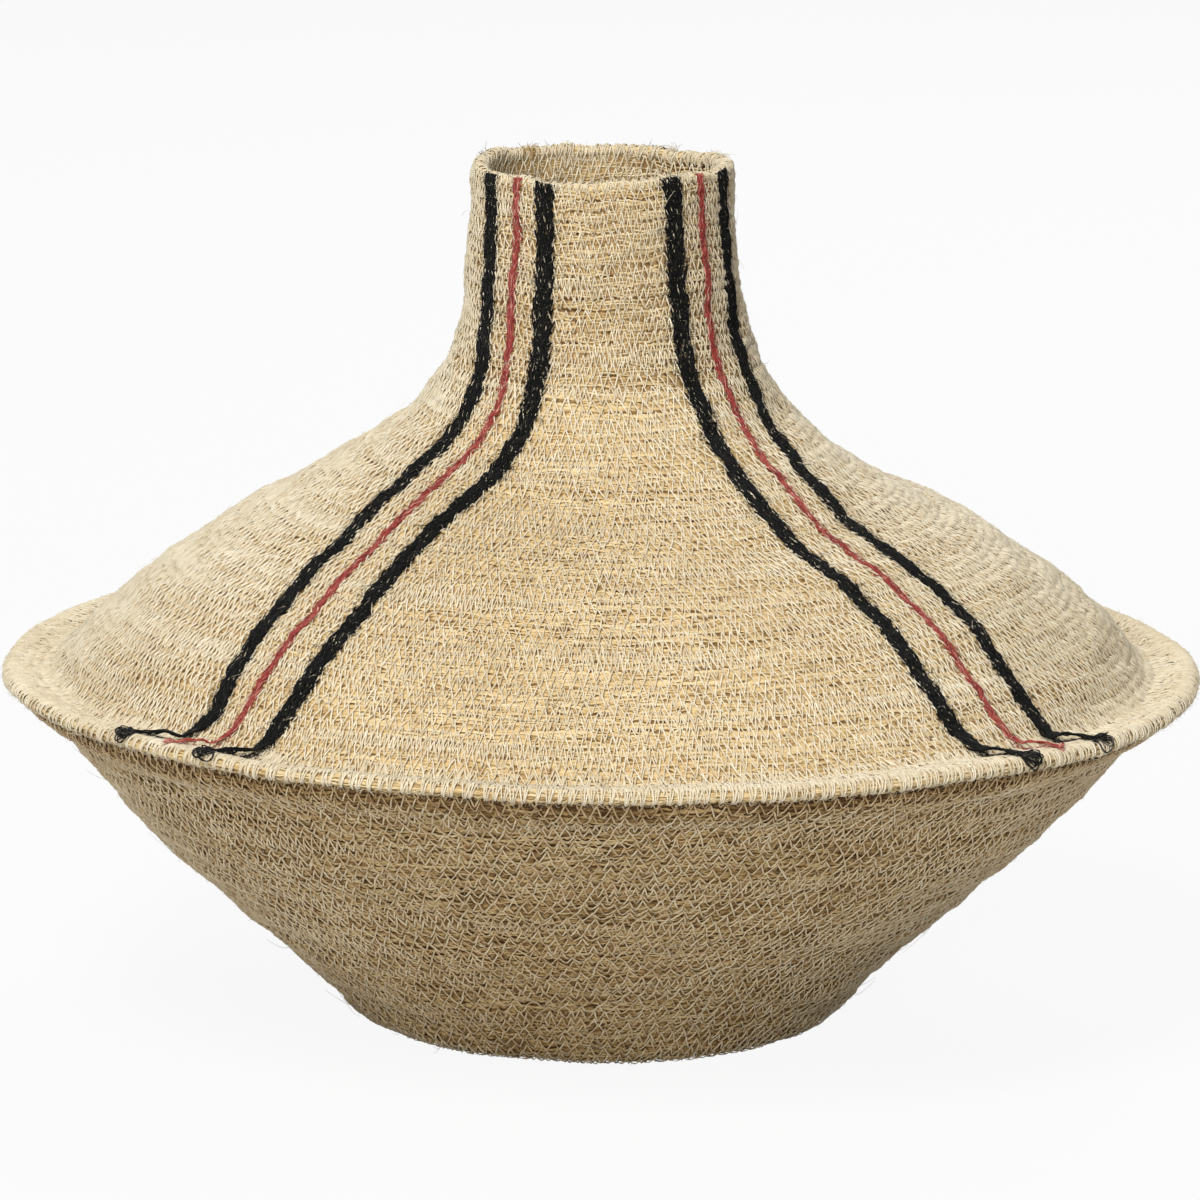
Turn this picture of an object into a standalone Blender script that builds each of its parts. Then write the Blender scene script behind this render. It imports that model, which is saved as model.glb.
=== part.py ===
# Kiondo basket: a coiled grass vase with a flared bowl, a broad edge, a domed shoulder and a narrow neck
# Metres, +Z up, standing on z = 0 with its axis on the origin. The front faces -Y.

import math

import bmesh
import bpy
import numpy as np

# Overall sizes
RIM_RADIUS = 0.275           # to the outside of the edge coil
RIM_HEIGHT = 0.1596          # centre of the edge coil above the ground
TOTAL_HEIGHT = 0.3946        # top of the mouth coil
WALL = 0.005                 # thickness of one coil row
CLEARANCE = 0.0003           # between neighbouring pieces

# Base and bowl
BASE_RADIUS = 0.098          # flat coiled disc
BASE_SOFTNESS = 0.001        # rounding of the disc's upper edge
FOOT_FLAT_WIDTH = 0.0042     # ring of the wall that lies on the ground
FOOT_ROUND_WIDTH = 0.0045    # ring over which the wall leaves the ground
FOOT_LIFT = 0.0008           # height of the wall's outside where it starts to climb
EDGE_COIL_RADIUS = 0.0047    # section of the thick sewn-over coil on the rim
BOWL_SEAT_ANGLE = math.radians(38.2)
BOWL_SEAT_SHARE = 0.82       # share of the wall that lies outside the edge coil's centre

# Shoulder and neck
TROUGH_INSET = 0.0205        # from the outside of the rim in to the lowest ring of the shoulder
TROUGH_RISE = 0.0012         # outside of the shoulder at the trough, above the edge coil's centre
SHOULDER_SEAT_SHARE = 0.74   # share of the wall above the edge coil's centre where the two meet
LIP_RISE_SHARE = 0.25        # share of the last rise that is done half way from the trough to the coil
NECK_FOOT_RADIUS = 0.0735    # where the neck turns into the shoulder
NECK_FOOT_HEIGHT = 0.300
MOUTH_RADIUS = 0.0592        # to the outside of the mouth coil
MOUTH_COIL_RADIUS = 0.003

# Stitched lines
BLACK_WIDTH = 0.008
BLACK_DEPTH = 0.0026
RED_WIDTH = 0.0038
RED_DEPTH = 0.002
BAND_SECTION_SHARES = ((-1, 0), (0, 0), (1, 0), (0.8, 0.7), (0, 1), (-0.8, 0.7))   # of half width and depth
DRAWN_IN_FROM_SHARE = 0.9    # of the line's length, from where the yarn is pulled tight over the trough
DRAWN_IN_SHARE = 0.72        # of the full width and depth there
KNOT_SHARE = 1.15            # of the full width and depth on the edge coil
MOUTH_COIL_TURNS = (40, 65, 90)      # degrees from the coil's top where a line's points lie
EDGE_COIL_TURNS = (-25, 0, 30, 55)
HALF_TURN = 180              # degrees from a set in front to the one behind it

# Handmade unevenness
EDGE_TILT = 0.0024           # the rim stands this much higher on one side
EDGE_TILT_TURN = math.radians(168)
EDGE_TILT_POWER = 4          # how sharply the tilt dies out towards the middle
SHOULDER_LEAN = 0.0035       # the shoulder is fuller on the left
LEAN_RADIUS = 0.132
LEAN_SPREAD = 0.036
LEAN_FADE_SHARE = 0.33       # of the shoulder's height, over which the lean grows from nothing
BOWL_SHIFT = 0.0022          # the bowl bellies out to the left
BOWL_SHIFT_START_SHARE = 0.25        # of the half wave that the shift follows, at the ground
NECK_SHIFT = 0.0008          # the neck stands to the right

# Outlines, as shares between the sizes above: (share of the radius, share of the height)
BOWL_OUTLINE_SHARES = (
    (0, 0), (0.12, 0.118), (0.26, 0.26), (0.415, 0.40), (0.545, 0.525), (0.665, 0.645),
    (0.77, 0.762), (0.825, 0.83), (0.9, 0.915), (1, 1),
)
SHOULDER_OUTLINE_SHARES = (
    (0, 0), (0.02, 0.045), (0.062, 0.122), (0.138, 0.203), (0.22, 0.279), (0.316, 0.355), (0.39, 0.41),
    (0.466, 0.46), (0.543, 0.513), (0.62, 0.579), (0.695, 0.645), (0.765, 0.715), (0.833, 0.79), (0.892, 0.859),
    (0.933, 0.919), (0.966, 0.968), (1, 1),
)
NECK_OUTLINE_SHARES = (
    (0, 0), (0.08, 0.13), (0.15, 0.33), (0.26, 0.53), (0.33, 0.65), (0.45, 0.76), (0.63, 0.86), (0.84, 0.95), (1, 1),
)

# Where each line lies, as degrees from the front towards its side, at these shares of the line's length
LINE_STATION_SHARES = (0, 0.15, 0.3, 0.42, 0.52, 0.7, 0.9, 1)
RIGHT_SET = {
    "black_inner": (31.3, 32.5, 35.2, 35.1, 36.2, 39.4, 40.4, 43.0),
    "red": (47.2, 48.5, 49.5, 46.3, 45.5, 47.0, 47.2, 48.4),
    "black_outer": (65.4, 67.3, 64.6, 56.0, 54.1, 54.8, 53.0, 54.5),
}
LEFT_SET = {
    "black_inner": (-26.2, -25.0, -24.8, -28.7, -32.8, -34.4, -36.1, -39.4),
    "red": (-40.4, -40.2, -37.3, -40.7, -41.2, -41.5, -42.0, -44.6),
    "black_outer": (-59.0, -55.0, -50.0, -51.0, -49.6, -48.4, -47.4, -51.4),
}

TURN_STEPS = 60
COIL_SIDES = 10
CLOSING_SHARE = 0.1          # of the clearance, within which the last step of a turn joins the first
CREASE_ANGLE = math.radians(40)

STRAW = (0.66, 0.53, 0.34, 1.0)
PALE_THREAD = (0.72, 0.62, 0.45, 1.0)
BLACK_YARN = (0.017, 0.018, 0.016, 1.0)
RED_YARN = (0.36, 0.05, 0.035, 1.0)


def clear_scene():
    for old in list(bpy.data.objects):
        bpy.data.objects.remove(old, do_unlink=True)


def make_collection(name):
    collection = bpy.data.collections.new(name)
    bpy.context.scene.collection.children.link(collection)
    return collection


def make_material(name, colour, roughness):
    material = bpy.data.materials.new(name)
    material.use_nodes = True
    shader = material.node_tree.nodes["Principled BSDF"]
    shader.inputs["Base Color"].default_value = colour
    shader.inputs["Roughness"].default_value = roughness
    shader.inputs["Metallic"].default_value = 0.0
    return material


def smooth_ramp(value):
    """0 below zero, 1 above one, and an even S between them."""
    value = min(max(value, 0.0), 1.0)
    return value * value * (3 - 2 * value)


def uneven(x, y, z):
    """Moves a point of the even turned shape to where the handmade basket has it."""
    radius = math.hypot(x, y)
    turn = math.atan2(y, x)
    low_share = min(max(z / RIM_HEIGHT, 0.0), 1.0)
    high_share = (z - trough_height()) / (NECK_FOOT_HEIGHT - trough_height())
    reach_share = (radius / RIM_RADIUS) ** EDGE_TILT_POWER
    tilt = EDGE_TILT * math.cos(turn - EDGE_TILT_TURN) * reach_share * low_share
    bump = math.exp(-(((radius - LEAN_RADIUS) / LEAN_SPREAD) ** 2))
    lean = SHOULDER_LEAN * math.cos(turn) * bump * smooth_ramp(high_share / LEAN_FADE_SHARE)
    wave_share = BOWL_SHIFT_START_SHARE + (1 - BOWL_SHIFT_START_SHARE) * low_share
    shift = NECK_SHIFT * smooth_ramp(high_share) - BOWL_SHIFT * math.sin(math.pi * wave_share)
    return x + shift, y, z + tilt - lean


def between(first, last, shares):
    """Points from one (radius, height) to another along an outline of shares."""
    return [
        (first[0] + (last[0] - first[0]) * across, first[1] + (last[1] - first[1]) * along)
        for across, along in shares
    ]


def edge_coil_centre():
    return RIM_RADIUS - EDGE_COIL_RADIUS, RIM_HEIGHT


def mouth_coil_centre():
    return MOUTH_RADIUS - MOUTH_COIL_RADIUS, TOTAL_HEIGHT - MOUTH_COIL_RADIUS


def trough_height():
    return RIM_HEIGHT + TROUGH_RISE


def bowl_seat():
    """Outer and inner corner of the bowl's top end, square to the wall and clear of the edge coil."""
    radius, height = edge_coil_centre()
    back = EDGE_COIL_RADIUS + CLEARANCE
    along = (math.cos(BOWL_SEAT_ANGLE), math.sin(BOWL_SEAT_ANGLE))
    corners = []
    for out in (WALL * BOWL_SEAT_SHARE, WALL * (BOWL_SEAT_SHARE - 1)):
        corners.append((radius - back * along[0] + out * along[1], height - back * along[1] - out * along[0]))
    return corners


def bowl_outline():
    """Outside of the bowl, from the foot up to the edge coil."""
    inner_edge = BASE_RADIUS + CLEARANCE
    flat_end = inner_edge + FOOT_FLAT_WIDTH
    foot = (flat_end + FOOT_ROUND_WIDTH, FOOT_LIFT)
    return [(inner_edge, 0.0), (flat_end, 0.0)] + between(foot, bowl_seat()[0], BOWL_OUTLINE_SHARES)


def neck_outline():
    """Outside of the neck, from under the mouth coil down to the shoulder."""
    radius, height = mouth_coil_centre()
    top = (radius + WALL / 2, height - MOUTH_COIL_RADIUS - CLEARANCE)
    return between(top, (NECK_FOOT_RADIUS, NECK_FOOT_HEIGHT), NECK_OUTLINE_SHARES)


def shoulder_outline():
    """Outside of the shoulder, from the neck down to the trough and up to the edge coil."""
    trough = (RIM_RADIUS - TROUGH_INSET, trough_height())
    dome = between((NECK_FOOT_RADIUS, NECK_FOOT_HEIGHT), trough, SHOULDER_OUTLINE_SHARES)
    radius, height = edge_coil_centre()
    end = (radius - EDGE_COIL_RADIUS - CLEARANCE, height + WALL * SHOULDER_SEAT_SHARE)
    lip = ((trough[0] + end[0]) / 2, trough[1] + (end[1] - trough[1]) * LIP_RISE_SHARE)
    return dome + [lip, end]


def tangents(points):
    """Unit directions along an outline, as (radius, height) steps."""
    steps = np.gradient(np.array(points), axis=0)
    return steps / np.linalg.norm(steps, axis=1)[:, None]


def inner_side(points, side):
    """The outline moved by one wall thickness to the given side."""
    along = tangents(points)
    across = np.stack([-along[:, 1], along[:, 0]], axis=1)
    return np.array(points) + across * WALL * side


def turned_shell(name, loop, collection, material):
    """A closed (radius, height) loop turned round the axis into one ring-shaped solid."""
    mesh = bpy.data.meshes.new(name)
    edges = [(i, (i + 1) % len(loop)) for i in range(len(loop))]
    mesh.from_pydata([(radius, 0.0, height) for radius, height in loop], edges, [])
    profile = bpy.data.objects.new(name + "_profile", mesh)
    collection.objects.link(profile)
    screw = profile.modifiers.new("Turn", "SCREW")
    screw.angle = math.tau
    screw.steps = TURN_STEPS
    screw.render_steps = TURN_STEPS
    screw.use_merge_vertices = True
    screw.merge_threshold = CLEARANCE * CLOSING_SHARE
    screw.use_normal_calculate = True
    graph = bpy.context.evaluated_depsgraph_get()
    solid = bpy.data.meshes.new_from_object(profile.evaluated_get(graph))
    bpy.data.objects.remove(profile, do_unlink=True)
    solid.name = name
    return finish_piece(name, solid, collection, material)


def coil_ring(name, centre, section_radius, collection, material):
    """A torus for one thick coil."""
    bpy.ops.mesh.primitive_torus_add(
        major_radius=centre[0],
        minor_radius=section_radius,
        major_segments=TURN_STEPS,
        minor_segments=COIL_SIDES,
        location=(0, 0, 0),
    )
    ring = bpy.context.active_object
    mesh = ring.data
    bpy.data.objects.remove(ring, do_unlink=True)
    for vertex in mesh.vertices:
        vertex.co.z += centre[1]
    mesh.name = name
    return finish_piece(name, mesh, collection, material)


def finish_piece(name, mesh, collection, material):
    """Gives a mesh its handmade unevenness, outward faces, smooth shading, material and object."""
    for vertex in mesh.vertices:
        vertex.co = uneven(*vertex.co)
    work = bmesh.new()
    work.from_mesh(mesh)
    bmesh.ops.recalc_face_normals(work, faces=work.faces)
    work.to_mesh(mesh)
    work.free()
    mesh.shade_smooth()
    mesh.set_sharp_from_angle(angle=CREASE_ANGLE)
    mesh.materials.clear()
    mesh.materials.append(material)
    piece = bpy.data.objects.new(name, mesh)
    collection.objects.link(piece)
    return piece


def make_base(collection, material):
    """Flat coiled disc that the basket stands on."""
    bpy.ops.mesh.primitive_cylinder_add(
        vertices=TURN_STEPS, radius=BASE_RADIUS, depth=WALL, end_fill_type="NGON", location=(0, 0, 0)
    )
    disc = bpy.context.active_object
    mesh = disc.data
    bpy.data.objects.remove(disc, do_unlink=True)
    for vertex in mesh.vertices:
        vertex.co.z += WALL / 2
    work = bmesh.new()
    work.from_mesh(mesh)
    top_edges = [edge for edge in work.edges if min(v.co.z for v in edge.verts) > WALL / 2]
    bmesh.ops.bevel(work, geom=top_edges, offset=BASE_SOFTNESS, segments=1, affect="EDGES")
    work.to_mesh(mesh)
    work.free()
    return finish_piece("base_disc", mesh, collection, material)


def make_bowl(collection, material):
    """Flared wall from the base to the rim."""
    outside = bowl_outline()
    inside = inner_side(outside, 1)
    inside[0] = (outside[0][0], WALL)
    inside[-1] = bowl_seat()[1]
    loop = list(outside) + list(inside[::-1])
    return turned_shell("bowl_wall", [tuple(map(float, point)) for point in loop], collection, material)


def make_neck(collection, material):
    outside = neck_outline()
    inside = inner_side(outside, -1)
    inside[0] = (outside[0][0] - WALL, outside[0][1])
    loop = list(outside) + list(inside[::-1])
    return turned_shell("neck", [tuple(map(float, point)) for point in loop], collection, material)


def make_shoulder(collection, material):
    """Domed upper shell from the neck to the edge coil, kept clear of the neck's end."""
    outside = np.array(shoulder_outline())
    above = neck_outline()[-2:]
    along = tangents(above)[-1]
    inside = inner_side(outside, -1)
    neck_inside = inner_side(neck_outline(), -1)
    outside[0] = outside[0] + along * CLEARANCE
    inside[0] = neck_inside[-1] + along * CLEARANCE
    inside[-1] = (outside[-1][0], outside[-1][1] - WALL)
    loop = list(outside) + list(inside[::-1])
    return turned_shell("shoulder", [tuple(map(float, point)) for point in loop], collection, material)


def round_coil(centre, section_radius, turns):
    """Points on a coil's section, by degrees from its top towards the outside."""
    return [
        (centre[0] + section_radius * math.sin(turn), centre[1] + section_radius * math.cos(turn))
        for turn in map(math.radians, turns)
    ]


def line_path():
    """Outside of the basket from the mouth coil to the edge coil, where a line of yarn lies."""
    mouth = round_coil(mouth_coil_centre(), MOUTH_COIL_RADIUS, MOUTH_COIL_TURNS)
    edge = round_coil(edge_coil_centre(), EDGE_COIL_RADIUS, EDGE_COIL_TURNS)
    return mouth + neck_outline()[1:] + shoulder_outline()[1:] + edge


def band_fullness(share, knot_share):
    """How full the yarn is at a share of the line's length."""
    if share >= knot_share:
        return KNOT_SHARE
    if share > DRAWN_IN_FROM_SHARE:
        return DRAWN_IN_SHARE
    return 1.0


def make_line(name, degrees, width, depth, collection, material):
    """A flat band of yarn lofted along the basket's side, drawn in over the trough and knotted at the edge."""
    path = np.array(line_path())
    length = np.concatenate([[0.0], np.cumsum(np.linalg.norm(np.diff(path, axis=0), axis=1))])
    shares = length / length[-1]
    knot_share = shares[-len(EDGE_COIL_TURNS)]
    along = tangents(path)
    outward = np.stack([-along[:, 1], along[:, 0]], axis=1)
    turns = np.radians(np.interp(shares, LINE_STATION_SHARES, degrees))
    points = []
    for (radius, height), normal, turn, share in zip(path, outward, turns, shares):
        fullness = band_fullness(share, knot_share)
        for side_share, lift_share in BAND_SECTION_SHARES:
            off = CLEARANCE + depth * fullness * lift_share
            bearing = turn + width * fullness * side_share / (2 * radius)
            out = radius + normal[0] * off
            points.append((out * math.sin(bearing), -out * math.cos(bearing), height + normal[1] * off))
    sides = len(BAND_SECTION_SHARES)
    faces = [tuple(range(sides)), tuple(reversed(range(len(points) - sides, len(points))))]
    for first in range(0, len(points) - sides, sides):
        for side in range(sides):
            corner = first + side
            beside = first + (side + 1) % sides
            faces.append((corner, beside, beside + sides, corner + sides))
    mesh = bpy.data.meshes.new(name)
    mesh.from_pydata(points, [], faces)
    return finish_piece(name, mesh, collection, material)


def make_lines(collection, black, red):
    """Four sets of black, red and black lines, each one at the back half a turn from one in front."""
    sets = {
        "front_right": (RIGHT_SET, 0),
        "front_left": (LEFT_SET, 0),
        "back_right": (LEFT_SET, HALF_TURN),
        "back_left": (RIGHT_SET, HALF_TURN),
    }
    yarns = {
        "black_inner": (BLACK_WIDTH, BLACK_DEPTH, black),
        "red": (RED_WIDTH, RED_DEPTH, red),
        "black_outer": (BLACK_WIDTH, BLACK_DEPTH, black),
    }
    for place, (lines, added) in sets.items():
        for line, degrees in lines.items():
            width, depth, material = yarns[line]
            turned = [value + added for value in degrees]
            make_line("line_" + place + "_" + line, turned, width, depth, collection, material)


def main():
    clear_scene()
    basket = make_collection("kiondo_basket")
    straw = make_material("coiled_grass", STRAW, 0.8)
    thread = make_material("sewn_over_coil", PALE_THREAD, 0.85)
    black = make_material("black_yarn", BLACK_YARN, 0.95)
    red = make_material("red_yarn", RED_YARN, 0.9)
    make_base(basket, straw)
    make_bowl(basket, straw)
    coil_ring("rim_coil", edge_coil_centre(), EDGE_COIL_RADIUS, basket, thread)
    make_shoulder(basket, straw)
    make_neck(basket, straw)
    coil_ring("mouth_coil", mouth_coil_centre(), MOUTH_COIL_RADIUS, basket, thread)
    make_lines(basket, black, red)


main()
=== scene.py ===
import math

import bpy
import numpy as np
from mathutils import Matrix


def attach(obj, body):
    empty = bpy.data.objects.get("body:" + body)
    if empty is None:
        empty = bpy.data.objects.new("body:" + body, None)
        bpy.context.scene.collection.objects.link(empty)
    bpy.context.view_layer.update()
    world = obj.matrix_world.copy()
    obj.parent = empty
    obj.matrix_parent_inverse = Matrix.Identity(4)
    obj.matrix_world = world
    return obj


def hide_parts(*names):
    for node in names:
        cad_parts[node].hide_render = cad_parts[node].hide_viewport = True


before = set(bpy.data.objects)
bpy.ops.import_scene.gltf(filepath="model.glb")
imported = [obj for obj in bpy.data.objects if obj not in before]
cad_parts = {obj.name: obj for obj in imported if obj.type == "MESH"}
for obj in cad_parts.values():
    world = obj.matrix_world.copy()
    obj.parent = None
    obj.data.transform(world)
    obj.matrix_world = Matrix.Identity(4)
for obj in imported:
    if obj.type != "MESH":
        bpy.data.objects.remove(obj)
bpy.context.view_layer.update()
chance = np.random.default_rng(27)
fullTurn = 2 * math.pi

# Sizes in metres. The basket stands on z = 0 with its axis on the origin, and its front faces -Y.
basket = {
    "rimRadius": 0.275,
    "rimHeight": 0.1596,          # middle of the edge coil
    "totalHeight": 0.3946,
    "wall": 0.005,
    "gap": 0.0003,
    "baseRadius": 0.098,
    "footFlat": 0.0042,
    "footRound": 0.0045,
    "footLift": 0.0008,
    "edgeCoil": 0.0047,           # section radius
    "edgeCoilFlat": (0.90, 0.60), # share of it that the coil keeps above and below its middle
    "bowlSeatAngle": math.radians(38.2),
    "bowlSeatShare": 0.82,
    "bowlTuck": 0.0026,           # how far the wall is drawn in right under the edge coil
    "bowlTouch": 228,             # degrees of the edge coil's section where the wall ends
    "troughInset": 0.0205,
    "troughRise": 0.0012,
    "shoulderSeatShare": 0.74,
    "lipRiseShare": 0.25,
    "neckFootRadius": 0.0735,
    "neckFootHeight": 0.300,
    "mouthRadius": 0.0592,
    "mouthCoil": 0.003,
    "row": 0.00487,               # from one row of the coil to the next
}

# Outlines as shares of the way between two of the sizes above: (outwards, upwards)
bowlShares = (
    (0, 0), (0.12, 0.118), (0.26, 0.26), (0.415, 0.40), (0.545, 0.525), (0.665, 0.645),
    (0.77, 0.762), (0.825, 0.83), (0.9, 0.915), (1, 1),
)
shoulderShares = (
    (0, 0), (0.02, 0.045), (0.062, 0.122), (0.138, 0.203), (0.22, 0.279), (0.316, 0.355), (0.39, 0.41),
    (0.466, 0.46), (0.543, 0.513), (0.62, 0.579), (0.695, 0.645), (0.765, 0.715), (0.833, 0.79),
    (0.892, 0.859), (0.933, 0.919), (0.966, 0.968), (1, 1),
)
neckShares = (
    (0, 0), (0.08, 0.13), (0.15, 0.33), (0.26, 0.53), (0.33, 0.65), (0.45, 0.76), (0.63, 0.86),
    (0.84, 0.95), (1, 1),
)
# degrees of the two coils' sections that the lines of yarn lie on
mouthDegrees = (40, 65, 90)
edgeDegrees = (-25, 0, 30, 55)

# How far the handmade basket is from a true turned shape
handmade = {
    "tilt": 0.0024,               # one side of the rim stands higher
    "tiltTurn": math.radians(168),
    "tiltPower": 4,
    "lean": 0.0035,               # the shoulder is fuller on one side
    "leanRadius": 0.132,
    "leanSpread": 0.036,
    "leanFadeShare": 0.33,
    "bowlShift": 0.0022,
    "bowlShiftShare": 0.25,
    "neckShift": 0.0008,
    "rimRise": (0.0024, math.radians(-141), math.radians(26)),    # height, turn and spread
    "rimWaves": ((0.0006, 3, 0.4), (0.0005, 7, 2.1), (0.00035, 13, 1.0), (0.0002, 29, 4.0)),
    "mouthRise": 0.0016,
    "mouthWaves": ((0.0009, 2, 2.6), (0.0005, 5, 0.7), (0.0004, 9, 3.0), (0.0003, 17, 1.2)),
    "mouthBends": (0.7, 0.9),     # shares of the shoulder's height where these begin, and up to their full
    "wallWaves": (                # height, times round, radians per metre along the wall, start
        (0.0005, 2, 38, 0.3), (0.0005, 3, -61, 1.9), (0.00035, 5, 118, 4.1), (0.0003, 8, -172, 2.2),
        (0.00028, 11, 260, 5.0), (0.0002, 17, -390, 0.8), (0.00018, 23, 640, 3.3), (0.00014, 31, -900, 1.2),
    ),
    "wavesFade": 0.014,           # the wall's waves die out this near its ends
}


def smoothRamp(value):
    value = np.clip(value, 0.0, 1.0)
    return value * value * (3 - 2 * value)


def atEnds(share, first, last):
    # 1 at both ends of a thread or blade, 0 past these shares of it
    return smoothRamp((first - share) / first) + smoothRamp((share - 1 + last) / last)


def ripple(waves, *values):
    # a sum of waves, each with its height, its factor for each value and its start
    total = 0.0
    for height, *factors, start in waves:
        phase = sum(factor * value for factor, value in zip(factors, values)) + start
        total = total + height * np.sin(phase)
    return total


def troughHeight():
    return basket["rimHeight"] + basket["troughRise"]


def handBend(x, y, z):
    # moves points of the true turned shape to where the handmade basket has them
    radius = np.hypot(x, y)
    turn = np.arctan2(y, x)
    low = np.clip(z / basket["rimHeight"], 0.0, 1.0)
    high = (z - troughHeight()) / (basket["neckFootHeight"] - troughHeight())
    height, middle, spread = handmade["rimRise"]
    rise = handmade["tilt"] * np.cos(turn - handmade["tiltTurn"]) + ripple(handmade["rimWaves"], turn)
    rise = rise + height * np.exp(-((turn - middle) / spread) ** 2)
    rise = rise * (radius / basket["rimRadius"]) ** handmade["tiltPower"] * low
    first, over = handmade["mouthBends"]
    mouth = handmade["mouthRise"] + ripple(handmade["mouthWaves"], turn)
    rise = rise + mouth * smoothRamp((high - first) / over)
    bump = np.exp(-(((radius - handmade["leanRadius"]) / handmade["leanSpread"]) ** 2))
    lean = handmade["lean"] * np.cos(turn) * bump * smoothRamp(high / handmade["leanFadeShare"])
    wave = handmade["bowlShiftShare"] + (1 - handmade["bowlShiftShare"]) * low
    shift = handmade["neckShift"] * smoothRamp(high) - handmade["bowlShift"] * np.sin(math.pi * wave)
    return x + shift, y, np.maximum(z + rise - lean, 0.0)


# Outlines of the basket

def between(first, last, shares):
    return [
        (first[0] + (last[0] - first[0]) * across, first[1] + (last[1] - first[1]) * along)
        for across, along in shares
    ]


def edgeCentre():
    return basket["rimRadius"] - basket["edgeCoil"], basket["rimHeight"]


def mouthCentre():
    return basket["mouthRadius"] - basket["mouthCoil"], basket["totalHeight"] - basket["mouthCoil"]


def roundCoil(centre, sectionRadius, degrees, flat=(1, 1)):
    return [
        (
            centre[0] + sectionRadius * math.sin(turn),
            centre[1] + sectionRadius * math.cos(turn) * (flat[0] if math.cos(turn) > 0 else flat[1]),
        )
        for turn in map(math.radians, degrees)
    ]


def bowlOutline():
    radius, height = edgeCentre()
    back = basket["edgeCoil"] + basket["gap"]
    out = basket["wall"] * basket["bowlSeatShare"]
    angle = basket["bowlSeatAngle"]
    end = (
        radius - back * math.cos(angle) + out * math.sin(angle) - basket["bowlTuck"],
        height - back * math.sin(angle) - out * math.cos(angle),
    )
    start = basket["baseRadius"] + basket["gap"]
    flatEnd = start + basket["footFlat"]
    foot = (flatEnd + basket["footRound"], basket["footLift"])
    touch = roundCoil((radius, height), back, (basket["bowlTouch"],), basket["edgeCoilFlat"])
    return [(start, 0.0), (flatEnd, 0.0)] + between(foot, end, bowlShares) + touch


def neckOutline():
    radius, height = mouthCentre()
    top = (radius + basket["wall"] / 2, height - basket["mouthCoil"] - basket["gap"])
    return between(top, (basket["neckFootRadius"], basket["neckFootHeight"]), neckShares)


def shoulderOutline():
    trough = (basket["rimRadius"] - basket["troughInset"], troughHeight())
    dome = between((basket["neckFootRadius"], basket["neckFootHeight"]), trough, shoulderShares)
    radius, height = edgeCentre()
    seat = basket["wall"] * basket["shoulderSeatShare"]
    end = (radius - basket["edgeCoil"] - basket["gap"], height + seat)
    lip = ((trough[0] + end[0]) / 2, trough[1] + (end[1] - trough[1]) * basket["lipRiseShare"])
    return dome + [lip, end]


def upperOutline():
    # from the mouth coil over neck and shoulder to the edge coil, as the lines of yarn run
    mouth = roundCoil(mouthCentre(), basket["mouthCoil"], mouthDegrees)
    edge = roundCoil(edgeCentre(), basket["edgeCoil"], edgeDegrees, basket["edgeCoilFlat"])
    return mouth + neckOutline()[1:] + shoulderOutline()[1:] + edge


def smoothLine(points, samples=14):
    # a smooth curve through the points, in chord lengths
    points = np.array(points, float)
    chord = np.linalg.norm(np.diff(points, axis=0), axis=1)[:, None]
    slope = np.diff(points, axis=0) / chord
    middle = (slope[:-1] * chord[1:] + slope[1:] * chord[:-1]) / (chord[:-1] + chord[1:])
    slopes = np.concatenate([slope[:1], middle, slope[-1:]])
    share = np.linspace(0, 1, samples, endpoint=False)[:, None]
    cube, square = share ** 3, share ** 2
    made = []
    for i in range(len(chord)):
        made.append(
            points[i] * (2 * cube - 3 * square + 1)
            + slopes[i] * chord[i] * (cube - 2 * square + share)
            + points[i + 1] * (3 * square - 2 * cube)
            + slopes[i + 1] * chord[i] * (cube - square)
        )
    return np.concatenate(made + [points[-1:]])


outlineStep = 0.0004              # from one worked-out place on a side to the next
paintedShadeReach = 0.011                # how far the painted shade at the darker end of a side reaches


def makeSide(points, facing=1, waves=1.0, start=0.0, shade=0.0):
    # a turned surface: radius, height and outward direction by the place along its outline
    line = smoothLine(points)
    length = np.concatenate([[0.0], np.cumsum(np.linalg.norm(np.diff(line, axis=0), axis=1))])
    place = np.linspace(0, length[-1], max(int(length[-1] / outlineStep), 12))
    radius = np.interp(place, length, line[:, 0])
    height = np.interp(place, length, line[:, 1])
    along = np.stack([np.gradient(radius), np.gradient(height)])
    soft = np.ones(5) / 5
    along = np.stack([np.convolve(np.pad(row, 2, mode="edge"), soft, mode="valid") for row in along])
    along /= np.linalg.norm(along, axis=0)
    return {
        "place": place,
        "radius": radius,
        "height": height,
        "outwards": -along[1] * facing,
        "upwards": along[0] * facing,
        "length": place[-1],
        "waves": waves,
        "start": start,
        # how dark the painted shade at the side's end is
        "shade": shade,
    }


def endPaintedShade(side, place):
    # painted shade: how much darker the grass and thread are painted close to the side's end
    return side["shade"] * np.exp(-(((side["length"] - place) / paintedShadeReach) ** 2))


def sideRadius(side, place):
    return np.interp(place, side["place"], side["radius"])


def wallWave(side, turn, place):
    fade = handmade["wavesFade"]
    hold = smoothRamp(place / fade) * smoothRamp((side["length"] - place) / fade) * side["waves"]
    return hold * ripple(handmade["wallWaves"], turn, place + side["start"])


def onSide(side, turn, place, lift):
    # points and outward directions, by turn from the front, place along the outline and lift
    height = np.interp(place, side["place"], side["height"])
    outwards = np.interp(place, side["place"], side["outwards"])
    upwards = np.interp(place, side["place"], side["upwards"])
    lift = lift + wallWave(side, turn, place)
    reach = sideRadius(side, place) + outwards * lift
    x, y, z = handBend(reach * np.sin(turn), -reach * np.cos(turn), height + upwards * lift)
    normal = [outwards * np.sin(turn), -outwards * np.cos(turn), upwards * np.ones_like(turn)]
    return np.stack([x, y, z], -1), np.stack(normal, -1)


# Mesh making

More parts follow.
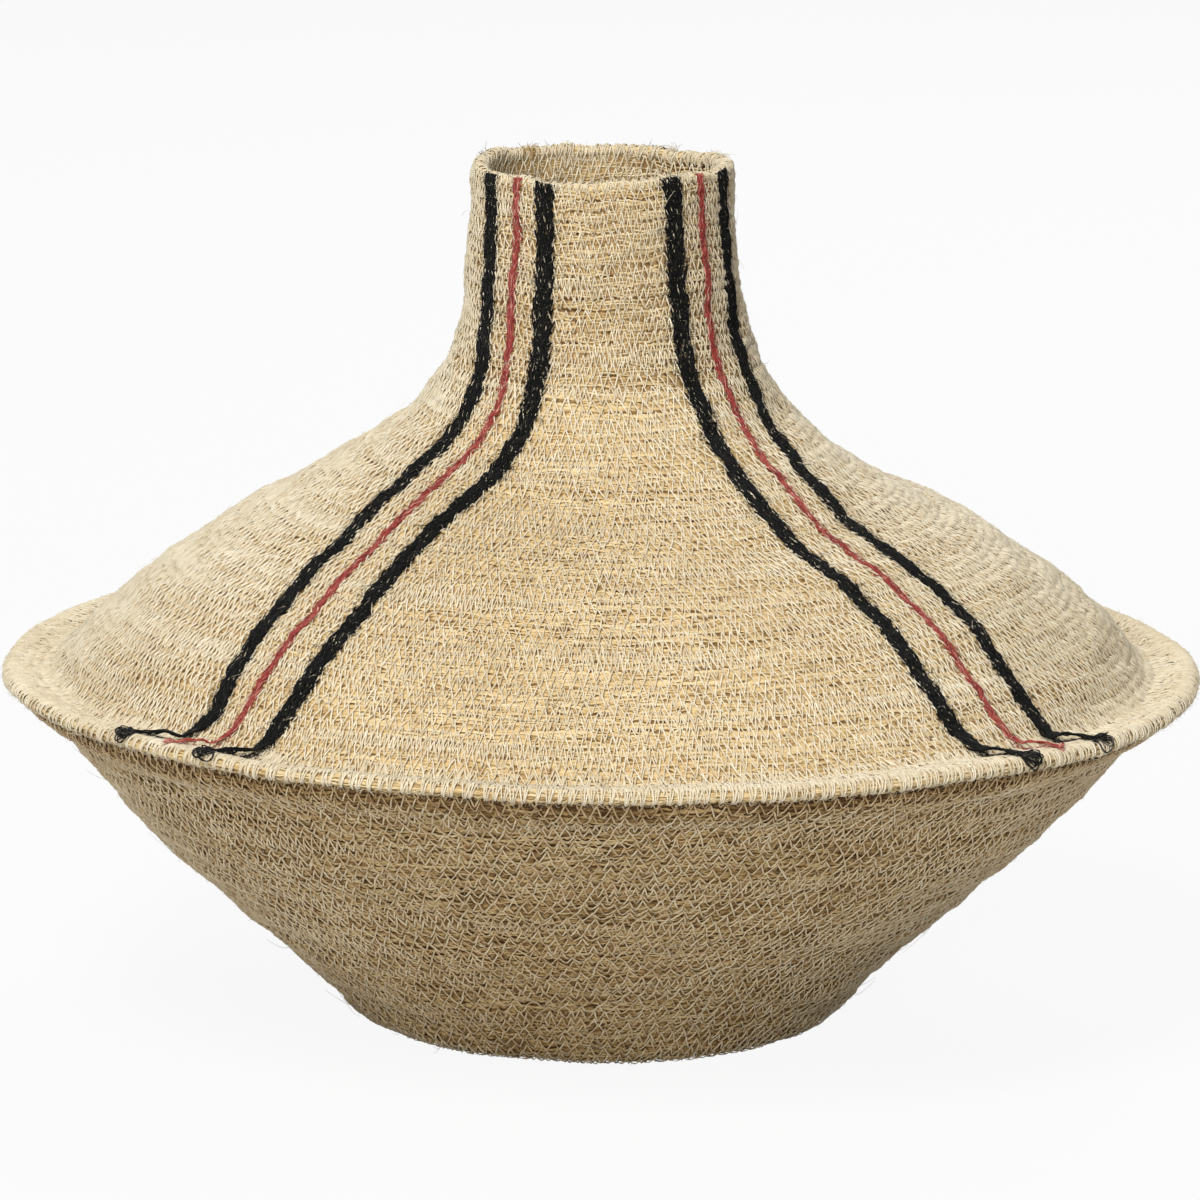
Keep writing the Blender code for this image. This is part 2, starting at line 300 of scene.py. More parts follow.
bladeArch = (-10, 90, 190)        # degrees of the corners of an open section
stitchArch = (-15, 90, 195)
threadArch = (-20, 55, 125, 200)
plySection = (30, 150, 270)       # and of a closed one
hairSection = (0, 120, 240)
grainSpread = 5                   # how far apart the grain of two fibres may start
bodyGrain = 0.6                   # of a body's widest reach, for its grain round the turn
flatMap = (0.005, 0.98, 0.99)     # margin, and the room for turn and for place


def unit(vectors):
    return vectors / np.maximum(np.linalg.norm(vectors, axis=-1, keepdims=True), 1e-12)


def quadsBetween(index, beside):
    return np.stack([index[:, :-1], beside[:, :-1], beside[:, 1:], index[:, 1:]], -1).reshape(-1, 4)


def makeTubes(paths, normals, wide, thick, section, closed=True, ply=None):
    # one tube, or open arch, along each of the equally long paths
    along = unit(np.gradient(paths, axis=1))
    across = unit(np.cross(along, normals))
    up = np.cross(across, along)
    if ply is not None:
        twist, reach = ply
        paths = paths + across * (np.cos(twist) * reach)[..., None] + up * (np.sin(twist) * reach)[..., None]
    angles = np.radians(section)
    wide = np.broadcast_to(wide, paths.shape[:2])[..., None, None]
    thick = np.broadcast_to(thick, paths.shape[:2])[..., None, None]
    points = (
        paths[:, :, None]
        + across[:, :, None] * np.cos(angles)[:, None] * wide
        + up[:, :, None] * np.sin(angles)[:, None] * thick
    )
    index = np.arange(points[..., 0].size).reshape(points.shape[:3])
    beside = np.roll(index, -1, axis=2)
    if not closed:
        index, beside = index[:, :, :-1], beside[:, :, :-1]
    return {"points": points, "quads": quadsBetween(index, beside)}


def runOf(paths):
    # the length of each path up to each of its points
    step = np.linalg.norm(np.diff(paths, axis=1), axis=2)
    return np.concatenate([np.zeros((len(paths), 1)), np.cumsum(step, axis=1)], axis=1)


def dressed(tubes, turn, place, tone):
    # adds the values that the materials read: tone, grain and the flat map of turn and place
    points = tubes["points"]
    shape = points.shape[:3]
    start = chance.uniform(0, grainSpread, (len(points), 1, 1))
    grain = np.zeros((*shape, 3))
    grain[..., 0] = runOf(points.mean(axis=2))[:, :, None] + start
    grain[..., 1] = np.arange(shape[2]) / shape[2]
    grain[..., 2] = start
    made = {"points": points.reshape(-1, 3), "quads": tubes["quads"], "grain": grain.reshape(-1, 3)}
    for name, values in (("tone", tone), ("turn", turn), ("place", place)):
        made[name] = np.broadcast_to(values[..., None], shape).reshape(-1)
    return made


def laidOn(side, turn, place, lift, wide, thick, section, tone):
    # open arches that lie on a side
    paths, normals = onSide(side, turn, place, lift)
    tubes = makeTubes(paths, normals, wide, thick, section, closed=False)
    return dressed(tubes, turn, place, tone.clip(0.02, 1))


def unevenly(shape, spread, least):
    # how thick a thread is along its way
    return (1 + spread * chance.normal(0, 1, shape)).clip(least, 1.4)


def together(parts):
    made = {key: np.concatenate([part[key] for part in parts]) for key in parts[0] if key != "quads"}
    first = np.cumsum([0] + [len(part["points"]) for part in parts[:-1]])
    made["quads"] = np.concatenate([part["quads"] + start for part, start in zip(parts, first)])
    return made


def addPiece(name, part, material, replaced=()):
    mesh = bpy.data.meshes.new(name)
    quads = part["quads"].astype(np.int32)
    mesh.vertices.add(len(part["points"]))
    mesh.vertices.foreach_set("co", part["points"].astype(np.float32).ravel())
    mesh.loops.add(quads.size)
    mesh.loops.foreach_set("vertex_index", quads.ravel())
    mesh.polygons.add(len(quads))
    mesh.polygons.foreach_set("loop_start", np.arange(0, quads.size, 4, dtype=np.int32))
    mesh.update(calc_edges=True)
    tone = mesh.attributes.new("tone", "FLOAT", "POINT")
    tone.data.foreach_set("value", part["tone"].astype(np.float32))
    grain = mesh.attributes.new("grain", "FLOAT_VECTOR", "POINT")
    grain.data.foreach_set("vector", part["grain"].astype(np.float32).ravel())
    margin, overTurn, overPlace = flatMap
    across = ((part["turn"] / fullTurn) % 1.0)[quads]
    across = np.where(across.max(axis=1, keepdims=True) - across > 0.5, across + 1, across)
    along = part["place"][quads]
    along = (along - along.min()) / max(np.ptp(along), 1e-9)
    flat = np.stack([margin + overTurn * across, margin + overPlace * along], -1)
    mesh.uv_layers.new(name="OFBake").uv.foreach_set("vector", flat.astype(np.float32).ravel())
    mesh.shade_smooth()
    mesh.materials.append(material)
    piece = bpy.data.objects.new(name, mesh)
    bpy.context.scene.collection.objects.link(piece)
    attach(piece, "root")
    if replaced:
        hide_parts(*replaced)


# Materials

def attribute(tree, name, output):
    node = tree.nodes.new("ShaderNodeAttribute")
    node.attribute_name = name
    return node.outputs[output]


def stretched(tree, scale):
    # the grain of a fibre, stretched along it
    mapping = tree.nodes.new("ShaderNodeMapping")
    mapping.inputs["Scale"].default_value = scale
    tree.links.new(attribute(tree, "grain", "Vector"), mapping.inputs["Vector"])
    return mapping.outputs["Vector"]


def noise(tree, vector, scale, detail=2.0):
    node = tree.nodes.new("ShaderNodeTexNoise")
    node.inputs["Scale"].default_value = scale
    node.inputs["Detail"].default_value = detail
    tree.links.new(vector, node.inputs["Vector"])
    return node.outputs["Fac"]


def combine(tree, operation, first, second):
    node = tree.nodes.new("ShaderNodeMath")
    node.operation = operation
    for socket, value in zip(node.inputs, (first, second)):
        if isinstance(value, (int, float)):
            socket.default_value = value
        else:
            tree.links.new(value, socket)
    return node.outputs[0]


def colourRamp(tree, value, stops):
    ramp = tree.nodes.new("ShaderNodeValToRGB")
    while len(ramp.color_ramp.elements) < len(stops):
        ramp.color_ramp.elements.new(0.5)
    for element, (position, colour) in zip(ramp.color_ramp.elements, stops):
        element.position = position
        element.color = (*colour, 1)
    tree.links.new(value, ramp.inputs["Fac"])
    return ramp.outputs["Color"]


def fibreMaterial(name, look):
    # tone of each fibre, shifted by streaks along it and by broad patches of the basket
    material = bpy.data.materials.new(name)
    material.use_nodes = True
    tree = material.node_tree
    shader = tree.nodes["Principled BSDF"]
    streak = noise(tree, stretched(tree, look["streakScale"]), 1.0)
    spot = tree.nodes.new("ShaderNodeTexCoord").outputs["Object"]
    patch = noise(tree, spot, look["patchScale"], 3.0)
    value = attribute(tree, "tone", "Fac")
    for shift, amount in ((streak, look["streak"]), (patch, look["patch"])):
        shift = combine(tree, "MULTIPLY", combine(tree, "SUBTRACT", shift, 0.5), amount)
        value = combine(tree, "ADD", value, shift)
    tree.links.new(colourRamp(tree, value, look["colours"]), shader.inputs["Base Color"])
    bump = tree.nodes.new("ShaderNodeBump")
    bump.inputs["Strength"].default_value = look["bump"]
    bump.inputs["Distance"].default_value = look["bumpDepth"]
    tree.links.new(noise(tree, stretched(tree, look["bumpScale"]), 1.0), bump.inputs["Height"])
    tree.links.new(bump.outputs["Normal"], shader.inputs["Normal"])
    shader.inputs["Roughness"].default_value = look["roughness"]
    shader.inputs["Sheen Weight"].default_value = look["sheen"]
    shader.inputs["Sheen Roughness"].default_value = 0.5
    shader.inputs["Specular IOR Level"].default_value = look["shine"]
    return material


grassLook = {
    "roughness": 0.62,
    "streakScale": (60, 3, 1),
    "streak": 0.5,
    "patchScale": 14,
    "patch": 0.35,
    "colours": (
        (0.0, (0.18, 0.10, 0.03)),
        (0.25, (0.42, 0.27, 0.10)),
        (0.5, (0.63, 0.45, 0.21)),
        (0.75, (0.73, 0.57, 0.31)),
        (1.0, (0.78, 0.65, 0.41)),
    ),
    "bumpScale": (150, 9, 1),
    "bump": 0.35,
    "bumpDepth": 0.0003,
    "sheen": 0.0,
    "shine": 0.35,
}
threadLook = {
    "roughness": 0.72,
    "streakScale": (120, 2, 1),
    "streak": 0.35,
    "patchScale": 11,
    "patch": 0.5,
    "colours": (
        (0.0, (0.40, 0.30, 0.17)),
        (0.35, (0.57, 0.465, 0.305)),
        (0.65, (0.68, 0.585, 0.41)),
        (1.0, (0.79, 0.715, 0.55)),
    ),
    "bumpScale": (900, 2, 1),
    "bump": 0.3,
    "bumpDepth": 0.0002,
    "sheen": 0.1,
    "shine": 0.3,
}
# painted shade: a browner, darker copy of the thread's colours for the bowl, which faces down into shade
bowlShadedThreadLook = dict(threadLook, colours=(
    (0.0, (0.34, 0.21, 0.095)),
    (0.35, (0.53, 0.38, 0.20)),
    (0.65, (0.67, 0.515, 0.31)),
    (1.0, (0.80, 0.68, 0.46)),
))
coreLook = {
    "roughness": 0.9,
    "streakScale": (70, 1400, 1),
    "streak": 0.7,
    "patchScale": 20,
    "patch": 0.4,
    "colours": (
        (0.0, (0.10, 0.05, 0.018)),
        (0.35, (0.34, 0.21, 0.085)),
        (0.65, (0.62, 0.44, 0.21)),
        (1.0, (0.78, 0.62, 0.36)),
    ),
    "bumpScale": (60, 1500, 1),
    "bump": 0.7,
    "bumpDepth": 0.0005,
    "sheen": 0.0,
    "shine": 0.2,
}
blackLook = {
    "roughness": 0.9,
    "streakScale": (300, 2, 1),
    "streak": 0.5,
    "patchScale": 60,
    "patch": 0.4,
    "colours": (
        (0.0, (0.0015, 0.0015, 0.0012)),
        (0.6, (0.004, 0.004, 0.0033)),
        (0.85, (0.024, 0.022, 0.018)),
        # the lightest stop gives pale flecks: partly paler fuzz, partly painted highlights of sheen
        (1.0, (0.13, 0.12, 0.10)),
    ),
    "bumpScale": (900, 3, 1),
    "bump": 0.4,
    "bumpDepth": 0.0003,
    "sheen": 0.04,
    "shine": 0.16,
}
redLook = dict(blackLook, roughness=0.88, sheen=0.1, shine=0.3, colours=(
    (0.0, (0.10, 0.010, 0.008)),
    (0.5, (0.35, 0.036, 0.028)),
    (0.8, (0.50, 0.12, 0.085)),
    # the lightest stop gives pale flecks: partly paler fuzz, partly painted highlights of sheen
    (1.0, (0.66, 0.36, 0.26)),
))


# The grass coil and the zigzag that sews it follow one winding, so the grass swells between stitches

coil = {
    "row": basket["row"],
    "crown": 0.0010,              # rise of a row from the joint to its crown
    "crownFall": 1.8,             # how fast a row falls off to its joint, and the least that is left
    "crownLeast": 0.05,
    "pressed": 0.0008,            # how deep a stitch presses the grass
    "pressedWide": 0.42,          # in half stitches, to each side of a thread
    "bodyDepth": 0.0008,          # the body's crowns lie this far under the basket's outside
    "innerDepth": 0.0009,         # and under its inside and the base's two sides
    "jointPaintedShade": 0.50,            # painted shade: how much lighter a crown is painted than the joint between rows
    "slitPaintedShade": 0.55,             # painted shade: how much darker an open joint is painted
    "slit": (0.30, 0.16),         # where it begins, in rows from the middle of one, and up to its full
    "slitWaves": (                # height, by turns made, turn and place, start
        (1, 1.9, 0, 0, 0), (1, 0.63, 0, 0, 1), (0.8, 0, 23, 9, 0),
    ),
    "slitMore": 0.2,
    "stitchWaves": (              # height, by turn and place, start
        (1, 3, 140, 0), (1, 0.83, 0, 2), (1, 0.29, 0, 0), (0.6, 7, -310, 2),
    ),
    "stitchUneven": 0.14,
    "slantWaves": ((0.16, 2, 0.27, 0), (0.1, 5, -0.4, 0)),    # by turn and turns made
    "turnStep": 0.0017,
    "perRow": 4,
    "perTurn": 240,               # worked-out places on each turn of a winding
    "overrun": 0.35,              # turns that blades and thread run past the first and last row
}
blade = {
    "tracks": 3,                  # side by side on a row
    "short": 0.008,
    "long": 0.028,
    "longest": 1.2,               # of the radius
    "step": 0.43,                 # of short and long together, from one blade to the next
    "points": 13,
    "wide": 0.00042,              # half of a blade's width
    "wideSpread": (0.55, 1.35),
    "thick": 0.00036,
    "depth": 0.00026,             # middle of a blade on the crown, under the basket's outside
    "depthSpread": 0.0001,
    "dive": 0.0004,               # how much deeper its ends lie, and over which share of it
    "diveOver": 0.12,
    "astray": 0.05,               # of a row, as are lean and sway
    "lean": 0.11,
    "sway": 0.10,
    "spread": 0.85,               # share of the row that the tracks cover
    "gather": (0.84, 0.28),       # share of that under a stitch, and what it gains between stitches
    "tone": 0.68,
    "toneSpread": 0.19,
    "pressedPaintedShade": 0.16,          # painted shade: how much darker a blade is painted under a stitch
}
thread = {
    "wide": 0.00036,
    "thick": 0.00031,
    "thickSpread": 0.15,
    "legShares": (0.0, 0.14, 0.5, 0.86),
    "legLifts": (-0.0006, -0.0001, 0.00022, -0.0001),
    "liftSpread": 0.00013,
    "overLift": 0.00022,          # the leg that crosses over lies this much higher
    # painted shade: the leg that lies under is painted darker than the one that crosses over it, by this much
    "underLegPaintedShade": 0.10,
    "holePaintedShade": 0.25,             # painted shade: how much darker the thread is painted in its hole
    "tone": 0.70,
    "toneSpread": 0.11,
    "uneven": 0.13,               # how far a stitch lies from its place, in half stitches
    "unevenReach": 0.11,          # and in rows
}


def windingPlace(winding, made):
    # place along the outline, by turns made
    return np.clip(winding["first"] + winding["row"] * made, 0, winding["side"]["length"])


def lengthMade(winding, made):
    # length of each step of the winding
    return fullTurn * np.diff(made) * sideRadius(winding["side"], windingPlace(winding, made)[1:])


def makeWinding(side, first, last, half, reach, slant):
    # the spiral of rows on a side, and the number of half stitches up to each place on it
    rows = round((last - first) / coil["row"])
    made = np.linspace(-1, rows + 1, (rows + 2) * coil["perTurn"] + 1)
    winding = {
        "side": side, "first": first, "row": (last - first) / rows, "rows": rows,
        "made": made, "reach": reach, "slant": slant,
    }
    waves = ripple(coil["stitchWaves"], fullTurn * made, windingPlace(winding, made))
    step = lengthMade(winding, made) / (half * (1 + coil["stitchUneven"] * waves[1:]))
    winding["count"] = np.concatenate([[0.0], np.cumsum(step)])
    return winding


def slantOf(winding, made):
    # how much wider one leg of the zigzag is than the other
    return winding["slant"] + ripple(coil["slantWaves"], fullTurn * made, made)


def pillow(winding, made, off):
    # how far the grass swells between the stitches: 1 amid them, 0 under a thread
    count = np.interp(made, winding["made"], winding["count"])
    slant = slantOf(winding, made)
    lean = off / (2 * winding["reach"])
    rising = (count - 0.5 + lean * (1 - slant)) % 2.0
    falling = (count - 1.5 - lean * (1 + slant)) % 2.0
    near = np.minimum(np.minimum(rising, 2 - rising), np.minimum(falling, 2 - falling))
    return smoothRamp(near / coil["pressedWide"])


def rowCrown(off):
    # rise of a row's section over the joint, by the distance from its middle in rows
    return coil["crown"] * np.sqrt(np.maximum(1 - (coil["crownFall"] * off) ** 2, coil["crownLeast"]))


def rowLift(off, swell, depth):
    return rowCrown(off) - coil["crown"] - depth - coil["pressed"] * (1 - swell)


def gridOf(first, last, steps, turns):
    # place and turn of every point of a surface round the axis
    return np.meshgrid(np.linspace(first, last, steps), np.linspace(0, fullTurn, turns, endpoint=False))


def coilBody(winding, first, last, turns, perRow, depth, sewn=True, tone=0.12):
    # the rows' body as a grid over turn and place, in a spiral relief, with painted shade in its joints, open
    # joints and under the stitches
    steps = max(round((last - first) / winding["row"] * perRow), 2)
    place, turn = gridOf(first, last, steps + 1, turns)
    along = (place - winding["first"]) / winding["row"] - turn / fullTurn
    off = (along + 0.5) % 1.0 - 0.5
    made = along - off + turn / fullTurn
    swell = pillow(winding, made, off) if sewn else np.ones_like(off)
    points, normals = onSide(winding["side"], turn, place, rowLift(off, swell, depth))
    start, over = coil["slit"]
    slit = smoothRamp(ripple(coil["slitWaves"], made, turn, place) + coil["slitMore"])
    slit = slit * smoothRamp((np.abs(off) - start) / over) * swell
    # painted shade: darker in the joints, in open joints and under the stitches
    tone = tone + coil["jointPaintedShade"] * swell * rowCrown(off) / coil["crown"] - coil["slitPaintedShade"] * slit
    # less the painted shade close to the side's end
    return points, turn, place, tone - endPaintedShade(winding["side"], place)


def bandOfGrids(grids):
    # joins grids that follow each other into one surface closed round the turn
    points, turn, place, tone = (np.concatenate([grid[i] for grid in grids], axis=1) for i in range(4))
    index = np.arange(turn.size).reshape(turn.shape)
    around = turn * np.abs(points[..., :2]).max() * bodyGrain
    return {
        "points": points.reshape(-1, 3),
        "quads": quadsBetween(index, np.roll(index, -1, axis=0)),
        "tone": tone.reshape(-1),
        "grain": np.stack([around, place, place * 0], -1).reshape(-1, 3),
        "turn": turn.reshape(-1),
        "place": np.broadcast_to(np.arange(turn.shape[1]), turn.shape).reshape(-1),
    }


def evenStarts(winding, low, high, step):
    # places on the winding, as turns made, at even steps of length
    made = np.linspace(low, high, int((high - low) * coil["perTurn"]) + 2)
    length = np.concatenate([[0.0], np.cumsum(lengthMade(winding, made))])
    return np.interp(np.arange(0, length[-1], step), length, made)


def bladesOn(winding, low, high, look):
    # short blades of grass laid end over end along each track of every row, low and high as turns made
    side = winding["side"]
    share = np.linspace(0, 1, look["points"])[None, :]
    slim = np.sin(np.pi * np.clip(share * 0.9 + 0.05, 0, 1)) ** 0.4
    least, gain = look["gather"]
    parts = []
    for track in range(look["tracks"]):
        starts = evenStarts(winding, low, high, (look["short"] + look["long"]) * look["step"])
        size = (len(starts), 1)
        radius = sideRadius(side, windingPlace(winding, starts))
        long = chance.uniform(look["short"], look["long"], len(starts))
        long = np.minimum(long, radius * look["longest"])
        made = starts[:, None] + share * (long / radius / fullTurn)[:, None]
        off = ((track + 0.5) / look["tracks"] - 0.5) * look["spread"] + chance.normal(0, look["astray"], size)
        sway = np.sin(share * chance.uniform(2, 8, size) + chance.uniform(0, 6, size))
        off = off + look["sway"] * sway + chance.normal(0, look["lean"], size) * (share - 0.5) * 2
        swell = pillow(winding, made, off)
        lift = rowLift(off, swell, look["depth"]) + chance.normal(0, look["depthSpread"], size)
        lift = lift - look["dive"] * atEnds(share, look["diveOver"], look["diveOver"])
        place = windingPlace(winding, made + off * (least + gain * swell))
        wide = look["wide"] * chance.uniform(*look["wideSpread"], size) * slim
        # painted shade: darker under a stitch and close to the side's end
        tone = chance.normal(look["tone"], look["toneSpread"], size) - look["pressedPaintedShade"] * (1 - swell)
        tone = tone - endPaintedShade(side, place)
        parts.append(laidOn(side, fullTurn * made, place, lift, wide, look["thick"], bladeArch, tone))
    return together(parts)


def zigzagOn(winding, low, high, look):
    # one thread in a zigzag over the joints, low and high as turns made
    side = winding["side"]
    firstCount, lastCount = np.interp((low, high), winding["made"], winding["count"])
    count = np.arange(math.ceil(firstCount), math.floor(lastCount) + 1)
    sign = np.where(count % 2 == 0, 1.0, -1.0)
    many = len(count)
    at = np.interp(count + chance.normal(0, look["uneven"], many), winding["count"], winding["made"])
    halfTurns = 1 / np.maximum(np.gradient(np.interp(at, winding["made"], winding["count"]), at), 1)
    at = at + sign * slantOf(winding, at) * halfTurns / 2
    off = sign * winding["reach"] + chance.normal(0, look["unevenReach"], many)
    shares = np.array(look["legShares"])
    made, off = (ends[:-1, None] + (ends[1:] - ends[:-1])[:, None] * shares for ends in (at, off))
    over = (sign[:-1, None] < 0) * 1.0
    out = (shares > 0) * 1.0      # 0 in the hole, 1 on the grass
    lift = np.array(look["legLifts"]) + look["overLift"] * over * out
    lift = lift + np.abs(chance.normal(0, look["liftSpread"], (many - 1, 1))) * out
    tone = chance.normal(look["tone"], look["toneSpread"], (many - 1, 1))
    # painted shade: the under leg darker, the over leg lighter, and the thread darker in its hole
    tone = tone + look["underLegPaintedShade"] * (over - 0.5) - look["holePaintedShade"] * (1 - out)
    legs = (fullTurn * made, windingPlace(winding, made + off), lift, tone)
    turn, place, lift, tone = (values.reshape(1, -1) for values in legs)
    size = unevenly(turn.shape, look["thickSpread"], 0.65)
    wide, thick = look["wide"] * size, look["thick"] * size
    # less the painted shade close to the side's end
    return laidOn(side, turn, place, lift, wide, thick, stitchArch, tone - endPaintedShade(side, place))


def inPieces(name, winding, count, maker, look, material):
    # a long winding as several pieces, each of whole rows
    for number in range(count):
        low = winding["rows"] * number // count - (coil["overrun"] if number == 0 else 0)
        high = winding["rows"] * (number + 1) // count + (coil["overrun"] if number == count - 1 else 0)
        ending = f"_{number + 1}" if count > 1 else ""
        addPiece(name + ending, maker(winding, low, high, look), material)


# Coils at the edge and the mouth, sewn over with bunches of thread

edgeCoil = {
    "centre": edgeCentre(),
    "section": basket["edgeCoil"],
    "flat": basket["edgeCoilFlat"],
    "bodyIn": 0.0009,
    "arc": (-110, 185),           # degrees from the top that show grass
    "stitch": 0.0046,             # from one bunch of threads to the next
    "threads": 3,
    "top": -70,                   # degrees where the threads go in at the top, and at the foot
    "foot": 158,
    "topSpread": 0.0064,
    "footSpread": 0.0008,
    "jitter": (0.15, 0.09, 11),   # of a bunch and of a thread in stitches, and of its foot in degrees
    "fan": 1.7,                   # how late the bunch spreads
    "slant": 0.0014,
    "wide": 0.00038,
    "pinch": 0.0011,
    "pinchWide": 0.0012,
    "pinchFrom": 10,
    "crestStep": 0.0011,          # from one thread to the next in the dense row on the crest
    "crest": (-105, 12),
    "tone": 0.66,
    "bladeArea": 0.000019,        # of the coil for each blade
}
mouthCoil = {
    "centre": mouthCentre(),
    "section": basket["mouthCoil"],
    "flat": (0.9, 1),
    "bodyIn": 0.0006,
    "arc": (-175, 140),
    "stitch": 0.0041,
    "threads": 3,
    "top": -168,
    "foot": 134,
    "topSpread": 0.0030,
    "footSpread": 0.0013,
    "jitter": (0.13, 0.14, 12),
    "fan": 1.0,
    "slant": 0.0030,
    "wide": 0.00036,
    "pinch": 0.0010,
    "pinchWide": 0.0012,
    "pinchFrom": -175,
    "crestStep": 0.0036,
    "crest": (-120, 100),
    "tone": 0.60,
    "bladeArea": 0.0000105,
}
bothCoils = {
    "bodyTone": 0.45,
    "pinchOver": 0.9,             # of the section's radius, up to the full pinch
    "threadPinch": 0.8,           # of the grass's
    "threadLift": 0.0002,
    "threadSpread": 0.00016,
    "threadDive": 0.0009,         # of its ends, and over which shares of it
    "diveOver": (0.06, 0.08),
    "crestLift": (-0.0003, 0.0006),    # at its ends, and how much more in its middle
    "crestLean": 0.0016,
    "crestEnds": 20,              # degrees
    "crestWide": 0.9,             # of the other threads
    "bladeLong": (0.010, 0.026),
    "bladeWide": 0.00045,
    "bladeThick": 0.00035,
    "bladeMargin": 0.0003,
    "bladeDepth": 0.00045,
    "bladeDive": 0.0004,
    "bladeTone": (0.66, 0.15),    # mean and spread
}


def coilSide(look, arc=None, steps=25):
    degrees = np.linspace(*(arc or look["arc"]), steps)
    return makeSide(roundCoil(look["centre"], look["section"], degrees, look["flat"]), waves=0.0)


def placeOf(look, degrees):
    # distance along the coil's flattened outline from the start of its arc
    steps = np.radians(np.linspace(look["arc"][0], look["arc"][1], 60))
    flat = np.where(np.cos(steps) > 0, look["flat"][0], look["flat"][1])
    length = np.hypot(np.diff(np.sin(steps)), np.diff(np.cos(steps)) * flat[1:]) * look["section"]
    return np.interp(degrees, np.degrees(steps), np.concatenate([[0.0], np.cumsum(length)]))


def stitchCount(look):
    return round(fullTurn * look["centre"][0] / look["stitch"])


def pinchAt(look, turn, place):
    # the coil is drawn in where a bunch of threads is pulled tight
    phase = (turn * stitchCount(look) / fullTurn + 0.5) % 1.0 - 0.5
    full = bothCoils["pinchOver"] * look["section"]
    low = smoothRamp((place - placeOf(look, look["pinchFrom"])) / full)
    return look["pinch"] * np.exp(-((phase * look["stitch"] / look["pinchWide"]) ** 2)) * low


def overcast(look, side):
    # bunches of thread, each from one hole at the foot to a spread over the crest
    count = stitchCount(look)
    each = (count, look["threads"], 1)
    share = np.linspace(0, 1, 12)[None, None, :]
    bunch = (np.arange(count) * fullTurn / count)[:, None, None]
    bunchJitter, threadJitter, footJitter = look["jitter"]
    bunch = bunch + chance.normal(0, bunchJitter, (count, 1, 1)) * look["stitch"] / look["centre"][0]
    across = (np.arange(look["threads"]) / (look["threads"] - 1) - 0.5)[None, :, None]
    across = across + chance.normal(0, threadJitter, each)
    spread = look["footSpread"] + (look["topSpread"] - look["footSpread"]) * share ** look["fan"]
    slant = look["slant"] * chance.normal(1, 0.5, (count, 1, 1))
    turn = bunch + (across * spread + slant * share) / look["centre"][0]
    foot = look["foot"] + chance.normal(0, footJitter, each)
    place = placeOf(look, foot + (look["top"] - foot) * share)
    lift = bothCoils["threadLift"] - bothCoils["threadDive"] * atEnds(share, *bothCoils["diveOver"])
    lift = lift + np.abs(chance.normal(0, bothCoils["threadSpread"], each))
    lift = lift - bothCoils["threadPinch"] * pinchAt(look, turn, place)
    turn, place, lift = (values.reshape(-1, share.size) for values in (turn, place, lift))
    place = np.clip(place, 0, side["length"])
    tone = chance.normal(look["tone"], 0.12, (len(turn), 1))
    return laidOn(side, turn, place, lift, look["wide"], look["wide"], threadArch, tone)


def crestThreads(look, side):
    # a dense row of short threads over the crest
    count = round(fullTurn * look["centre"][0] / look["crestStep"])
    share = np.linspace(0, 1, 7)[None, :]
    turn = (np.arange(count) * fullTurn / count + chance.normal(0, 0.0006, count))[:, None]
    lean = chance.normal(look["slant"], bothCoils["crestLean"], (count, 1)) / look["centre"][0]
    turn = turn + lean * share
    low, high = look["crest"]
    ends = chance.normal(0, bothCoils["crestEnds"], (count, 2))
    degrees = low + ends[:, :1] + (high - low + ends[:, 1:]) * share
    place = np.clip(placeOf(look, degrees), 0, side["length"])
    least, more = bothCoils["crestLift"]
    lift = least + more * np.sin(np.pi * share) ** 0.6 + np.abs(chance.normal(0, 0.0001, (count, 1)))
    lift = lift - bothCoils["threadPinch"] * pinchAt(look, turn, place)
    wide = look["wide"] * bothCoils["crestWide"]
    tone = chance.normal(look["tone"], 0.1, (count, 1))
    return laidOn(side, turn, place, lift, wide, wide, threadArch, tone)


lipThread = {
    "many": 6000,
    "first": 0.0260,              # from the end of the line over the edge coil
    "last": 0.0045,
    "ending": 0.003,
    "short": 0.0035,
    "long": 0.0080,
    "wide": 0.00034,
    "lift": (-0.0005, 0.0007),    # at its ends, and how much more in its middle
    "lean": 0.30,
    "tone": 0.58,
    "toneSpread": 0.12,
}


def lipThreads():
    # short stitches close together on the lip behind the edge coil
    share = np.linspace(0, 1, 5)[None, :]
    size = (lipThread["many"], 1)
    start = upperSide["length"] - chance.uniform(lipThread["last"], lipThread["first"], size)
    long = chance.uniform(lipThread["short"], lipThread["long"], size)
    place = np.clip(start + long * (share - 0.5), 0, upperSide["length"] - lipThread["ending"])
    lean = chance.normal(0, lipThread["lean"], size) * long / basket["rimRadius"]
    turn = chance.uniform(0, fullTurn, size) + lean * (share - 0.5)
    least, more = lipThread["lift"]
    lift = least + more * np.sin(np.pi * share) ** 0.6 + chance.normal(0, 0.00008, size)
    tone = chance.normal(lipThread["tone"], lipThread["toneSpread"], size)
    return laidOn(upperSide, turn, place, lift, lipThread["wide"], lipThread["wide"], threadArch, tone)


